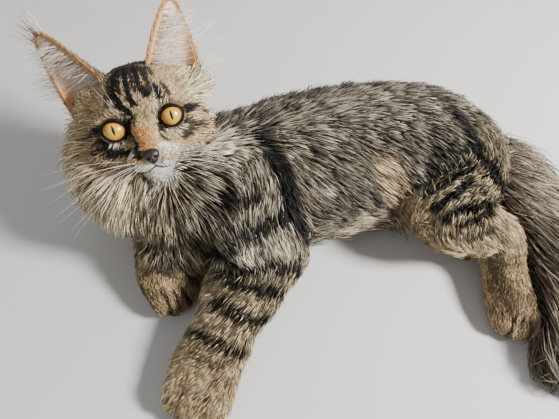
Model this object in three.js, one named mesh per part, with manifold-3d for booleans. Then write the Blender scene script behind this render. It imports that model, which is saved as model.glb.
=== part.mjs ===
// A Maine Coon kitten of about thirteen weeks, life size, lying on its right side with the head
// raised and turned to look up. Millimetres, +Z up, the floor at z = 0. The origin is on the floor
// under the middle of the trunk, and +X runs from the head towards the tail.
import * as THREE from "three";
import { mergeVertices } from "three/addons/utils/BufferGeometryUtils.js";
import Module from "manifold-3d";

const wasm = await Module();
wasm.setup();

// Driving dimensions
const seam = 0.3; // gap kept between neighbouring pieces
const eyeSpacing = 35; // between the centres of the two eyeballs
const eyeRadius = 8.6;
const lidThickness = 1.1;
const noseSize = [5.4, 3.9, 3.4]; // half width, half height, half depth of the nose leather
const earHeight = 52;
const earHalfWidth = 19.5;
const earSkin = 1.9;
const floorClearance = 0.8; // how far the lowest hair stays above the floor
const lowestRoot = 13; // no lock grows lower down than this
const sharpestBend = 0.6; // cosine of the most that a lock's path turns at a point
const rootDepth = 4; // how deep a lock starts below the surface that it grows from

// The skeleton's landmarks
const chestFront = [-136, -74, 44];
const elbowLeft = [-60, -92, 40];
const wristLeft = [-84, -156, 15];
const elbowRight = [-106, -101, 19];
const wristRight = [-141, -104, 21];
const kneeLeft = [60, -48, 46];
const hockLeft = [116, -45, 27];
const kneeRight = [48, -26, 17];
const hockRight = [104, -10, 13];
const tailBend = [150, -4, 19];
const headPlace = [-151, -61.1, 106.8]; // midway between the eyeballs
const nosePlace = [0, -18.6, 16]; // the nose leather, in the head's own frame
const headGaze = [0.234, -0.729, 0.643];
const headLeftward = [0.893, 0.423, 0.155];

const vec = (xyz) => new THREE.Vector3(...xyz);
const up = new THREE.Vector3(0, 0, 1);
const mix = (a, b, t) => a + (b - a) * t;
const clamp = (x, low, high) => Math.min(high, Math.max(low, x));
const smooth = (x, low, high) => {
  const t = clamp((x - low) / (high - low), 0, 1);
  return t * t * (3 - 2 * t);
};

// A small seeded generator, so that every build lays the coat the same way.
function seeded(seed) {
  let state = seed;
  return () => {
    state = (state + 0x6d2b79f5) | 0;
    let t = Math.imul(state ^ (state >>> 15), 1 | state);
    t = (t + Math.imul(t ^ (t >>> 7), 61 | t)) ^ t;
    return ((t ^ (t >>> 14)) >>> 0) / 4294967296;
  };
}

// Turns a closed three.js geometry into a solid that faces outwards.
function solidOf(geometry) {
  const bare = geometry.clone();
  bare.deleteAttribute("normal");
  bare.deleteAttribute("uv");
  const merged = mergeVertices(bare, 1e-4);
  const triVerts = new Uint32Array(merged.index.array);
  const vertProperties = new Float32Array(merged.attributes.position.array);
  const make = () => new wasm.Manifold(new wasm.Mesh({ numProp: 3, vertProperties, triVerts }));
  const made = make();
  if (made.volume() > 0) return made;
  for (let i = 0; i < triVerts.length; i += 3) {
    [triVerts[i + 1], triVerts[i + 2]] = [triVerts[i + 2], triVerts[i + 1]];
  }
  return make();
}

// Moves every vertex of a geometry by a function of its place.
function shaped(geometry, place) {
  const position = geometry.attributes.position;
  for (let i = 0; i < position.count; i++) {
    const moved = place(position.getX(i), position.getY(i), position.getZ(i));
    position.setXYZ(i, moved.x, moved.y, moved.z);
  }
  return geometry;
}

// A limb is a round form through stations of [x, y, z, half width, half height].
// The width lies level and the height stands across it.
class Limb {
  constructor(stations, { sides = 10, rings = 7, cap = 0.6, samples = 26 } = {}) {
    this.curve = new THREE.CatmullRomCurve3(stations.map((s) => vec(s.slice(0, 3))));
    this.widths = stations.map((s) => s[3]);
    this.heights = stations.map((s) => s[4]);
    this.sides = sides;
    this.rings = rings;
    this.cap = cap;
    this.frames = Array.from({ length: samples }, (_, i) => this.frame(i / (samples - 1)));
  }

  // Smooth steps between the named sizes of the stations
  sizeAt(sizes, u) {
    const last = sizes.length - 1;
    const i = Math.min(last - 1, Math.floor(u * last));
    return mix(sizes[i], sizes[i + 1], smooth(u * last - i, 0, 1));
  }

  frame(u) {
    const centre = this.curve.getPoint(u);
    const along = this.curve.getTangent(u);
    const side = new THREE.Vector3().crossVectors(along, up).normalize();
    const lift = new THREE.Vector3().crossVectors(side, along).normalize();
    return { centre, along, side, lift, w: this.sizeAt(this.widths, u), h: this.sizeAt(this.heights, u) };
  }

  // A point at a turn round the section, 0 at the side and a quarter turn at the top
  at(u, turn, extra = 0) {
    const f = this.frame(u);
    return f.centre
      .clone()
      .addScaledVector(f.side, Math.cos(turn) * (f.w + extra))
      .addScaledVector(f.lift, Math.sin(turn) * (f.h + extra));
  }

  // Roughly how far a point lies outside this limb
  level(p) {
    let least = Infinity;
    const q = new THREE.Vector3();
    for (const f of this.frames) {
      q.subVectors(p, f.centre);
      const small = Math.min(f.w, f.h);
      const reach = Math.hypot(q.dot(f.side) / f.w, q.dot(f.lift) / f.h, q.dot(f.along) / small);
      least = Math.min(least, (reach - 1) * small);
    }
    return least;
  }

  solid(extra = 0) {
    const ends = 2 / this.rings; // share of the rings in each rounded end
    return solidOf(
      shaped(new THREE.SphereGeometry(1, this.sides, this.rings), (x, y, z) => {
        const s = Math.acos(clamp(y, -1, 1)) / Math.PI;
        const turn = Math.atan2(z, x);
        const u = clamp((s - ends) / (1 - 2 * ends), 0, 1);
        const f = this.frame(u);
        const over = s < ends ? -(ends - s) / ends : s > 1 - ends ? (s - 1 + ends) / ends : 0;
        const round = Math.cos((Math.abs(over) * Math.PI) / 2);
        const out = Math.sin((over * Math.PI) / 2) * (this.cap * Math.min(f.w, f.h) + extra);
        return f.centre
          .clone()
          .addScaledVector(f.along, out)
          .addScaledVector(f.side, Math.cos(turn) * (f.w + extra) * round)
          .addScaledVector(f.lift, Math.sin(turn) * (f.h + extra) * round);
      }),
    );
  }
}

// The flesh with half its coat on, limb by limb
const limbs = {
  torso: new Limb(
    [
      [...chestFront, 36, 42],
      [-112, -62, 43, 46, 46],
      [-58, -26, 43, 54, 47],
      [-12, 0, 42, 55, 46],
      [34, 14, 42, 56, 46],
      [72, 20, 40, 49, 43],
      [90, 32, 37, 31, 30],
    ],
    { sides: 18, rings: 15 },
  ),
  neck: new Limb(
    [
      [-138, -64, 46, 42, 37],
      [-160, -53, 57, 46, 33],
      [-172, -33, 78, 37, 27],
    ],
    { sides: 16, rings: 9 },
  ),
  upper_foreleg_left: new Limb([
    [-86, -58, 66, 36, 24],
    [-80, -80, 54, 33, 22],
    [...elbowLeft, 26, 19],
  ]),
  forearm_left: new Limb([
    [...elbowLeft, 25, 17],
    [-76, -126, 26, 24, 16],
    [...wristLeft, 17, 13],
  ]),
  forepaw_left: new Limb([
    [...wristLeft, 18, 14],
    [-90, -176, 12, 20, 13],
    [-91, -190, 10, 20, 11.5],
  ]),
  upper_foreleg_right: new Limb([
    [-131, -88, 30, 21, 21],
    [...elbowRight, 19, 17],
  ]),
  forearm_right: new Limb([
    [...elbowRight, 17, 15],
    [...wristRight, 15, 14],
  ]),
  forepaw_right: new Limb([
    [...wristRight, 15, 14],
    [-135, -120, 15, 16, 13],
    [-126, -130, 12, 15, 13],
  ]),
  thigh_left: new Limb(
    [
      [74, 16, 54, 38, 28],
      [66, -14, 52, 36, 26],
      [...kneeLeft, 26, 20],
    ],
    { rings: 9, sides: 14 },
  ),
  lower_leg_left: new Limb([
    [...kneeLeft, 24, 19],
    [90, -46, 36, 21, 17],
    [...hockLeft, 14, 14],
  ]),
  hindpaw_left: new Limb([
    [...hockLeft, 14, 14],
    [120, -70, 18, 14, 13],
    [124, -94, 12, 17, 13],
    [126, -104, 10, 16, 11.5],
  ]),
  thigh_right: new Limb([
    [72, 10, 20, 30, 18],
    [...kneeRight, 20, 15],
  ]),
  lower_leg_right: new Limb([
    [...kneeRight, 18, 15],
    [...hockRight, 13, 12],
  ]),
  hindpaw_right: new Limb([
    [...hockRight, 13, 12],
    [104, -34, 11, 12, 11.5],
    [98, -46, 9, 13, 10.5],
  ]),
  tail_base: new Limb([
    [90, 46, 36, 13, 13],
    [122, 34, 28, 17, 14],
    [...tailBend, 20, 15],
  ]),
  tail_end: new Limb([
    [...tailBend, 20, 15],
    [163, -56, 15, 20, 14],
    [162, -104, 11, 15, 12.5],
    [155, -136, 7, 8, 8],
  ]),
};

// The head's own frame: l towards the cat's left, u towards the crown, f towards the nose,
// from the point midway between the eyeballs.
const gaze = vec(headGaze).normalize();
const leftward = vec(headLeftward).addScaledVector(gaze, -vec(headLeftward).dot(gaze)).normalize();
const crown = new THREE.Vector3().crossVectors(gaze, leftward);
const toWorld = new THREE.Matrix4().makeBasis(leftward, crown, gaze).setPosition(vec(headPlace));
const toHead = toWorld.clone().invert();
const inHead = (l, u, f) => new THREE.Vector3(l, u, f).applyMatrix4(toWorld);
const turnedWithHead = (l, u, f) => new THREE.Vector3(l, u, f).transformDirection(toWorld);

// Rounded masses of the head as [l, u, f, half width, half height, half depth]
const pair = ([l, ...rest]) => [
  [l, ...rest],
  [-l, ...rest],
];
const headMasses = [
  [0, 10, -26, 31, 25, 30], // cranium
  [0, -10, -29, 29, 22, 26], // back of the jaws
  [0, 13, -6, 19, 13, 11], // forehead
  [0, -5, 5, 8, 11, 8], // bridge of the nose
  [0, -16.5, 9.8, 6.5, 5.5, 6.5], // nose end
  [0, -18, -3, 16, 12, 11], // root of the muzzle
  [0, -30, 2.5, 8, 6.5, 9], // chin
  ...pair([7.4, -21, 7.5, 8.6, 6.8, 8.5]), // whisker pads
  ...pair([21, -11, -12, 14, 14, 14]), // cheeks
  ...pair([17.5, 0, -4.8, 12.5, 11.2, 11.5]), // round the eyes
  ...pair([14, 10, -2, 8, 5.5, 6]), // brows
  ...pair([27, 17, -25, 11, 10, 11]), // under the ears
];
const headBlend = 1.4; // millimetres over which the masses run into one another
const headCentre = new THREE.Vector3(0, -8, -9); // the face's vertices lie closer for it

// Roughly how far a point of the head's frame lies outside the head
function headLevel(p) {
  let sum = 0;
  for (const [l, u, f, a, b, c] of headMasses) {
    const x = (p.x - l) / a;
    const y = (p.y - u) / b;
    const z = (p.z - f) / c;
    const near = Math.hypot(x, y, z);
    const steep = Math.hypot(x / a, y / b, z / c) || 1;
    sum += Math.exp(-((near * (near - 1)) / steep) / headBlend);
  }
  return -headBlend * Math.log(sum);
}

// Where a ray from the middle of the head leaves it
function headSurface(direction, extra = 0) {
  let near = 4;
  let far = 70;
  const p = new THREE.Vector3();
  for (let i = 0; i < 26; i++) {
    const middle = (near + far) / 2;
    p.copy(headCentre).addScaledVector(direction, middle);
    if (headLevel(p) < extra) near = middle;
    else far = middle;
  }
  return p.clone();
}

function ellipsoid(centre, size, extra, [sides, rings]) {
  return solidOf(
    shaped(new THREE.SphereGeometry(1, sides, rings), (x, y, z) =>
      inHead(
        centre[0] + x * (size[0] + extra),
        centre[1] + y * (size[1] + extra),
        centre[2] + z * (size[2] + extra),
      ),
    ),
  );
}

const eyeball = (side, extra) =>
  ellipsoid([(side * eyeSpacing) / 2, 0, 0], [eyeRadius, eyeRadius, eyeRadius], extra, [12, 8]);

// The nose leather, broad above and narrow below
function noseLeather(extra) {
  return solidOf(
    shaped(new THREE.SphereGeometry(1, 12, 8), (x, y, z) => {
      const taper = 0.72 + 0.28 * y;
      return inHead(
        x * (noseSize[0] + extra) * taper,
        nosePlace[1] + y * (noseSize[1] + extra),
        nosePlace[2] + z * (noseSize[2] + extra),
      );
    }),
  );
}

// A rim of skin round each eye, its outer corner the higher
function lidRim(side) {
  const [halfWidth, halfHeight, tilt, turns] = [7.9, 7, 0.24, 18];
  const rim = Array.from({ length: turns }, (_, i) => {
    const a = (i / turns) * 2 * Math.PI;
    const corner = 1 + 0.16 * Math.cos(a) ** 4;
    const x = halfWidth * corner * Math.cos(a);
    const y = halfHeight * Math.sin(a);
    const across = x * Math.cos(tilt) - y * Math.sin(tilt);
    const over = x * Math.sin(tilt) + y * Math.cos(tilt);
    const depth = Math.sqrt(Math.max(2, (eyeRadius + 0.7) ** 2 - across ** 2 - over ** 2));
    return inHead(side * (eyeSpacing / 2 + across), over, depth);
  });
  return solidOf(new THREE.TubeGeometry(new THREE.CatmullRomCurve3(rim, true), 16, lidThickness, 4, true));
}

// The line of the mouth, from below the nose out to one corner, as a thin tool
function mouthLine(side) {
  const groove = 1.1;
  const [steps, drop, reach] = [5, -25.5, 13];
  const stations = Array.from({ length: steps }, (_, i) => {
    const t = i / (steps - 1);
    const aim = new THREE.Vector3(side * t * reach, drop - 2.6 * Math.sin(t * Math.PI * 0.8), 12 - 9 * t * t);
    const p = headSurface(aim.sub(headCentre).normalize()).applyMatrix4(toWorld);
    return [p.x, p.y, p.z, groove, groove];
  });
  return new Limb(stations, { sides: 4, rings: 7, samples: 2 }).solid();
}

const philtrum = () => {
  const stations = [-22, -24, -26].map((u) => {
    const p = headSurface(new THREE.Vector3(0, u, 14).sub(headCentre).normalize()).applyMatrix4(toWorld);
    return [p.x, p.y, p.z, 0.7, 0.7];
  });
  return new Limb(stations, { sides: 4, rings: 5, samples: 2 }).solid();
};

function headCore(extra) {
  const ball = new THREE.IcosahedronGeometry(1, 6);
  return solidOf(
    shaped(ball, (x, y, z) => headSurface(new THREE.Vector3(x, y, z).normalize(), extra).applyMatrix4(toWorld)),
  );
}

// An ear is a tall curled sheet: a deep cup at its root that opens into a pointed blade
class Ear {
  constructor(root, tip, facing) {
    this.root = new THREE.Vector3(...root);
    this.rise = new THREE.Vector3(...tip).sub(this.root).normalize();
    const front = new THREE.Vector3(...facing);
    this.front = front.addScaledVector(this.rise, -front.dot(this.rise)).normalize();
    this.across = new THREE.Vector3().crossVectors(this.rise, this.front);
    this.height = new THREE.Vector3(...tip).sub(this.root).length();
  }

  // x runs over the sheet from edge to edge, t from the root to the tip
  at(x, t, off = 0) {
    const rest = Math.max(0, 1 - t);
    const halfWidth = earHalfWidth * (0.05 + 0.95 * rest ** 0.68) * (1 - 0.12 * rest ** 3);
    const curl = mix(0.75, 1.75, rest ** 1.6);
    const radius = halfWidth / Math.sin(Math.min(curl, Math.PI / 2));
    const angle = x * curl;
    return this.root
      .clone()
      .addScaledVector(this.rise, this.height * t)
      .addScaledVector(this.across, (radius + off) * Math.sin(angle))
      .addScaledVector(this.front, radius * Math.cos(curl) - (radius + off) * Math.cos(angle));
  }

  solid(extra = 0) {
    const sheet = new THREE.BoxGeometry(2, 1, 1, 7, 6, 1);
    return solidOf(
      shaped(sheet, (x, y, z) => {
        const t = mix(-0.12, 1 + extra / earHeight, y + 0.5);
        const thin = mix(1, 0.55, clamp(t, 0, 1));
        const p = this.at(x * (1 + extra * 0.03), t, z * (earSkin * thin + 2 * extra));
        return p.applyMatrix4(toWorld);
      }),
    );
  }
}

const ears = {
  ear_left: new Ear([25, 19, -21], [37, 66, -31], [0.3, -0.15, 1]),
  ear_right: new Ear([-31, 20, -21], [-48, 64, -31], [-0.5, -0.1, 0.9]),
};

// The whole body's outside, for laying the coat over it
const everyLimb = Object.values(limbs);
function bodyLevel(p) {
  let least = headLevel(p.clone().applyMatrix4(toHead));
  for (const limb of everyLimb) least = Math.min(least, limb.level(p));
  return least;
}

function bodyNormal(p) {
  const step = 1.5;
  const slope = ["x", "y", "z"].map((axis) => {
    const ahead = p.clone();
    const behind = p.clone();
    ahead[axis] += step;
    behind[axis] -= step;
    return bodyLevel(ahead) - bodyLevel(behind);
  });
  return new THREE.Vector3(...slope).normalize();
}

// A lock's path leaves the surface and bends over to lie along the coat.
// heights are how far its three free points stand off the body. A path that would meet the
// floor, or fold over on itself, gives no lock.
function layLock(root, lie, length, heights) {
  const normal = bodyNormal(root);
  const points = [root.clone().addScaledVector(normal, -rootDepth)];
  const normals = [normal];
  const p = root.clone();
  const flow = lie.clone().normalize();
  for (const height of heights) {
    const n = bodyNormal(p);
    flow.addScaledVector(n, -flow.dot(n) * 0.8).normalize();
    p.addScaledVector(flow, length / heights.length);
    for (let i = 0; i < 3; i++) p.addScaledVector(bodyNormal(p), height - bodyLevel(p));
    if (p.z < floorClearance + 2) return null;
    points.push(p.clone());
    normals.push(bodyNormal(p));
  }
  const legs = points.slice(1).map((q, i) => q.clone().sub(points[i]).normalize());
  const folds = legs.slice(1).some((leg, i) => leg.dot(legs[i]) < sharpestBend);
  return folds ? null : { points, normals };
}

// A flat tapered lock along a path: a thin blade with a low ridge, as a closed solid
function lockSolid({ points, normals, width, thickness }, extra = 0) {
  const curve = new THREE.CatmullRomCurve3(points);
  const steps = 3;
  return solidOf(
    shaped(new THREE.ConeGeometry(1, 1, 3, steps), (x, y, z) => {
      const s = clamp(y + 0.5, 0, 1);
      const ring = Math.round(s * steps);
      const p = curve.getPoint(s);
      const along = curve.getTangent(s);
      const normal = normals[Math.min(ring, normals.length - 1)].clone();
      normal.addScaledVector(along, -normal.dot(along)).normalize();
      const side = new THREE.Vector3().crossVectors(along, normal);
      const round = Math.hypot(x, z);
      const fullness = round > 1e-6 ? [0.6, 1, 0.75][Math.min(ring, 2)] / round : 0;
      if (ring === steps) p.addScaledVector(along, 2 * extra);
      return p
        .addScaledVector(side, x * fullness * (width * 1.15 + extra * 2))
        .addScaledVector(normal, z * fullness * (thickness * 1.3 + extra * 2));
    }),
  );
}

// Locks, node by node, as a list of paths with their widths
const locks = {};
for (const name of [...Object.keys(limbs), "head", "ear_left", "ear_right"]) locks[name] = [];

const floorward = new THREE.Vector3(0, 0, -1);
const evenly = (from, to, count) => Array.from({ length: count }, (_, i) => mix(from, to, i / (count - 1)));

// The node whose surface a point is on
function ownerOf(p) {
  const onHead = headLevel(p.clone().applyMatrix4(toHead));
  let [owner, least] = ["head", onHead];
  for (const [name, limb] of Object.entries(limbs)) {
    const level = limb.level(p);
    if (level < least) [owner, least] = [name, level];
  }
  return owner;
}

function growLock(name, root, lie, { length, width, heights }, random) {
  const path = layLock(root, lie, length * (0.85 + 0.3 * random()), heights);
  if (path) locks[name].push({ ...path, width: width * (0.9 + 0.25 * random()), thickness: 1.2 });
}

// Rows of locks over a limb. turns are the places round its section, in degrees, and lie gives
// the coat's direction as shares along the limb, out from its middle, away from the face and
// towards the floor.
function coatLimb(name, { seed, rows, turns, lie, ...size }) {
  const limb = limbs[name];
  const random = seeded(seed);
  const pace = turns[1] - turns[0];
  rows.forEach((u, row) => {
    for (const degrees of turns) {
      const turn = THREE.MathUtils.degToRad(degrees + (row % 2) * 0.5 * pace + 9 * (random() - 0.5));
      const at = clamp(u + 0.03 * (random() - 0.5), 0, 1);
      const root = limb.at(at, turn);
      if (root.z < lowestRoot || ownerOf(root) !== name) continue;
      const { along, side, lift } = limb.frame(at);
      const fromFace = root.clone().sub(vec(headPlace));
      fromFace.addScaledVector(gaze, -fromFace.dot(gaze)).normalize();
      const flow = new THREE.Vector3()
        .addScaledVector(along, lie.along ?? 0)
        .addScaledVector(side, Math.cos(turn) * (lie.out ?? 0) + (lie.side ?? 0))
        .addScaledVector(lift, Math.sin(turn) * (lie.out ?? 0))
        .addScaledVector(fromFace, lie.fromFace ?? 0)
        .addScaledVector(gaze, lie.gaze ?? 0)
        .addScaledVector(floorward, lie.down ?? 0);
      growLock(name, root, flow, size, random);
    }
  });
}

coatLimb("torso", {
  seed: 11,
  rows: evenly(0.2, 0.97, 7),
  turns: evenly(-22, 196, 7),
  length: 52,
  width: 11.5,
  heights: [1, 5, 8.5],
  lie: { along: 0.9, side: 0.4, down: 0.1 },
});
coatLimb("torso", {
  seed: 13,
  rows: [0, 0.1],
  turns: evenly(10, 130, 4),
  length: 42,
  width: 10,
  heights: [2, 7, 12],
  lie: { fromFace: 1, gaze: -0.5, down: 0.2 },
});
coatLimb("neck", {
  seed: 23,
  rows: [0.05, 0.35, 0.65, 0.95],
  turns: evenly(-15, 309, 10),
  length: 42,
  width: 10,
  heights: [2, 8, 14],
  lie: { fromFace: 1, gaze: -0.5, down: 0.25 },
});
for (const [name, rows] of [
  ["tail_base", evenly(0.1, 0.9, 4)],
  ["tail_end", evenly(0.04, 0.96, 5)],
]) {
  coatLimb(name, {
    seed: 37,
    rows,
    turns: evenly(-12, 165, 5),
    length: 40,
    width: 9,
    heights: [2.5, 9, 16],
    lie: { along: 1, out: 0.55 },
  });
}
coatLimb("thigh_left", {
  seed: 41,
  rows: [0.3, 0.62, 0.95],
  turns: evenly(-20, 150, 4),
  length: 30,
  width: 8,
  heights: [1, 4, 6.5],
  lie: { along: 1, side: -0.2, down: 0.1 },
});
coatLimb("upper_foreleg_left", {
  seed: 43,
  rows: [0.35, 0.85],
  turns: evenly(-10, 170, 4),
  length: 30,
  width: 8,
  heights: [1, 4, 6],
  lie: { along: 1, out: 0.2 },
});
coatLimb("forearm_left", {
  seed: 47,
  rows: [0.12, 0.5],
  turns: evenly(-10, 175, 4),
  length: 28,
  width: 7,
  heights: [0.8, 3.5, 5.5],
  lie: { along: 1, out: 0.2 },
});
coatLimb("lower_leg_left", {
  seed: 53,
  rows: [0.3, 0.75],
  turns: evenly(-20, 150, 3),
  length: 22,
  width: 6.5,
  heights: [0.8, 3, 4.5],
  lie: { along: 1, out: 0.15 },
});

// Fans of locks round the gaze axis: the ruff behind the face and the long hair of the cheeks.
// depth is the tier's place behind the eyes and angles run round from the cat's left side.
function coatRound({ seed, tiers, back, ...size }) {
  const random = seeded(seed);
  for (const { depth, angles, owners } of tiers) {
    for (const degrees of angles) {
      const angle = THREE.MathUtils.degToRad(degrees + 5 * (random() - 0.5));
      const outward = turnedWithHead(Math.cos(angle), Math.sin(angle), 0);
      const p = inHead(Math.cos(angle) * 95, Math.sin(angle) * 95, -depth);
      for (let i = 0; i < 60 && bodyLevel(p) > 0.2; i++) p.addScaledVector(outward, -0.7 * bodyLevel(p));
      const owner = ownerOf(p);
      if (!owners.includes(owner) || p.z < lowestRoot) continue;
      const lie = outward.addScaledVector(gaze, -back).addScaledVector(floorward, 0.15);
      growLock(owner, p, lie, size, random);
    }
  }
}

coatRound({
  seed: 61,
  tiers: [{ depth: 6, angles: [-52, -30, -8, 14, 166, 188, 210, 232], owners: ["head"] }],
  back: 1.6,
  length: 34,
  width: 7,
  heights: [1, 5, 9],
});

// Ear furnishings: a tuft on the tip and long hairs that cross the cup and pass its outer edge
for (const [name, ear] of Object.entries(ears)) {
  const side = name === "ear_left" ? 1 : -1;
  const random = seeded(71 + side);
  const outer = ear.across.clone().multiplyScalar(side);
  // reach, forward and rise are how far a hair goes outwards, forwards and up the ear
  const hair = (start, { reach, forward, rise, width }) => {
    const bend = [0, 0.35, 0.7, 1];
    const points = bend.map((s) =>
      start
        .clone()
        .addScaledVector(outer, reach * s)
        .addScaledVector(ear.front, forward * Math.sin(s * 2.2) - 0.6 * (1 - s))
        .addScaledVector(ear.rise, rise * s * (1 + 0.4 * s))
        .applyMatrix4(toWorld),
    );
    const facing = ear.front.clone().transformDirection(toWorld);
    locks[name].push({ points, normals: points.map(() => facing), width, thickness: 0.8 });
  };
  for (const spread of [-4, 1, 6]) {
    hair(ear.at(side * spread * 0.05, 0.9), { reach: spread, forward: 1, rise: 17, width: 2.2 });
  }
  for (const t of [0.1, 0.22, 0.34, 0.46, 0.58, 0.7]) {
    const reach = 32 - 20 * t + 9 * (random() - 0.5);
    const rise = 20 * t - 5 + 8 * (random() - 0.5);
    hair(ear.at(side * 0.55, t), { reach, forward: 4, rise, width: 2.4 + 1.2 * random() });
  }
}

const union = (list) => list.reduce((sum, one) => sum.add(one));
const coated = (name, makeCore, extra) =>
  union([makeCore(extra), ...locks[name].map((lock) => lockSolid(lock, extra))]);

// A paw with four rounded toes across its end
function toed(name, extra) {
  const limb = limbs[name];
  const end = limb.frame(1);
  const toes = [-0.62, -0.22, 0.22, 0.62].map((place) => {
    const reach = 6 - 9 * place * place;
    const centre = end.centre
      .clone()
      .addScaledVector(end.side, place * end.w)
      .addScaledVector(end.along, reach)
      .addScaledVector(up, 0.5);
    const size = end.w * 0.36 + extra;
    return solidOf(
      shaped(new THREE.SphereGeometry(1, 7, 5), (x, y, z) =>
        centre
          .clone()
          .addScaledVector(end.side, x * size)
          .addScaledVector(end.along, y * size * 1.25)
          .addScaledVector(up, z * (size + 1.5)),
      ),
    );
  });
  return union([coated(name, (more) => limb.solid(more), extra), ...toes]);
}

const paws = ["forepaw_left", "forepaw_right", "hindpaw_left", "hindpaw_right"];

// Every node, the first ones keeping their whole shape and the later ones giving way to them
const makers = new Map([
  ["eye_left", (extra) => eyeball(1, extra)],
  ["eye_right", (extra) => eyeball(-1, extra)],
  ["nose", noseLeather],
  ["head", (extra) => union([coated("head", headCore, extra), lidRim(1), lidRim(-1)])],
  ["ear_left", (extra) => coated("ear_left", (more) => ears.ear_left.solid(more), extra)],
  ["ear_right", (extra) => coated("ear_right", (more) => ears.ear_right.solid(more), extra)],
]);
for (const name of Object.keys(limbs)) {
  const limbSolid = (extra) => coated(name, (more) => limbs[name].solid(more), extra);
  makers.set(name, paws.includes(name) ? (extra) => toed(name, extra) : limbSolid);
}

// The bare geometry of a solid, with vertices closer than a thousandth welded
function geometryOf(solid) {
  const { vertProperties, triVerts } = solid.getMesh();
  const geometry = new THREE.BufferGeometry()
    .setAttribute("position", new THREE.BufferAttribute(Float32Array.from(vertProperties), 3))
    .setIndex(new THREE.BufferAttribute(Uint32Array.from(triVerts), 1));
  const welded = mergeVertices(geometry, 1e-3);
  const index = [...welded.index.array];
  const sound = index.filter((_, i) => {
    const [a, b, c] = index.slice(i - (i % 3), i - (i % 3) + 3);
    return a !== b && b !== c && c !== a;
  });
  return welded.setIndex(sound);
}

// The largest closed surface of a solid, without loose scraps or sealed hollows
function largestBody(solid) {
  const rounds = 2; // welding can pinch off another scrap
  for (let i = 0; i < rounds; i++) {
    [solid] = solidOf(geometryOf(solid)).decompose().sort((a, b) => b.volume() - a.volume());
  }
  return solid;
}

const grooves = [mouthLine(1), mouthLine(-1), philtrum()];
const room = solidOf(new THREE.BoxGeometry(900, 900, 400).translate(0, 0, 200)); // all above the floor
const boxesMeet = (a, b) => [0, 1, 2].every((i) => a.min[i] <= b.max[i] && b.min[i] <= a.max[i]);

const solids = new Map();
const clearances = [];
for (const [name, make] of makers) {
  let solid = make(0).intersect(room);
  for (const clearance of clearances) {
    if (!solid.isEmpty() && boxesMeet(solid.boundingBox(), clearance.boundingBox())) solid = solid.subtract(clearance);
  }
  if (name === "head") solid = grooves.reduce((rest, groove) => rest.subtract(groove), solid);
  solids.set(name, largestBody(solid));
  clearances.push(make(seam).add(make(0)));
}

const colours = { eye: 0xd8a63a, nose: 0x4a3532, ear: 0xcfa588, head: 0x8c7a60, neck: 0xc2ae8c };
const part = new THREE.Group();
for (const [name, solid] of solids) {
  const geometry = geometryOf(solid);
  const eye = name.startsWith("eye");
  const material = new THREE.MeshStandardMaterial({
    color: colours[name.split("_")[0]] ?? 0x857866,
    roughness: eye ? 0.1 : 0.9,
    metalness: 0,
  });
  const mesh = new THREE.Mesh(geometry, material);
  mesh.name = name;
  part.add(mesh);
}
export default part;
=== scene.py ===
# A young long-haired cat lying on its side: skin, coat, ears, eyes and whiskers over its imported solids.
import math

import bmesh
import bpy
import numpy as np
from mathutils import Matrix, Vector
from mathutils.bvhtree import BVHTree
from mathutils.kdtree import KDTree


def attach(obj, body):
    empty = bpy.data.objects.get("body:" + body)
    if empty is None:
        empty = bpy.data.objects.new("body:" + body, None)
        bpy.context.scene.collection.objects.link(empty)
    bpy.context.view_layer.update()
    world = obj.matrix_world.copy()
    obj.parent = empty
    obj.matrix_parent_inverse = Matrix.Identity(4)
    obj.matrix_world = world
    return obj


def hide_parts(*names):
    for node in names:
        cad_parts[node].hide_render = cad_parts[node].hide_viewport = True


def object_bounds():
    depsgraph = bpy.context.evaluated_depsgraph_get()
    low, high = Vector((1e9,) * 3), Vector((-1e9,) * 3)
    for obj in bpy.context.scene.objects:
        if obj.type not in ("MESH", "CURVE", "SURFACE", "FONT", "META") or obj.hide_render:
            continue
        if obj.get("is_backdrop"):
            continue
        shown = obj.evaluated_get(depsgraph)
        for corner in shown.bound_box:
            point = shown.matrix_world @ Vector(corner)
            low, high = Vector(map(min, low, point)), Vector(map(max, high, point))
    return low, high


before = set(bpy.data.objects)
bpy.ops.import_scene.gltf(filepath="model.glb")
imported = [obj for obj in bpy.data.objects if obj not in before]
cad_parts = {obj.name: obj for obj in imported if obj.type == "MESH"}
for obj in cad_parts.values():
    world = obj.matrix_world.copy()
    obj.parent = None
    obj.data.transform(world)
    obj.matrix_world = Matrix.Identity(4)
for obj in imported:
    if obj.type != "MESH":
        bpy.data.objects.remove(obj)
cadBox = [list(corner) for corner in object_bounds()]
mm = 0.001
chance = np.random.default_rng(7)
print("frame loaded")


def unit(v):
    return v / np.maximum(np.linalg.norm(v, axis=-1, keepdims=True), 1e-9)


def ramp(x, low, high):  # a smooth step from 0 to 1
    t = np.clip((x - low) / (high - low), 0, 1)
    return t * t * (3 - 2 * t)


def mix(a, b, t):
    return a + (b - a) * t


def colour(red, green, blue):  # screen values from 0 to 255, as linear light
    c = np.array([red, green, blue]) / 255
    return np.where(c < 0.04045, c / 12.92, ((c + 0.055) / 1.055) ** 2.4)


def curveAt(points, u):  # a centripetal curve through the points, at shares u of them
    p = np.asarray(points, float)
    x = np.clip(u, 0, 1) * (len(p) - 1)
    i = np.minimum(np.floor(x).astype(int), len(p) - 2)
    w = (x - i)[:, None]
    held = np.vstack([2 * p[0] - p[1], p, 2 * p[-1] - p[-2]])
    a, b, c, d = (held[i + k] for k in range(4))

    def gap(q, r):
        return np.maximum(((r - q) ** 2).sum(1), 1e-9)[:, None] ** 0.25

    e, f, g = gap(a, b), gap(b, c), gap(c, d)
    out = ((b - a) / e - (c - a) / (e + f) + (c - b) / f) * f
    back = ((c - b) / f - (d - b) / (f + g) + (d - c) / g) * f
    return b + w * out + w * w * (3 * c - 3 * b - 2 * out - back) + w**3 * (2 * b - 2 * c + out + back)


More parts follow.
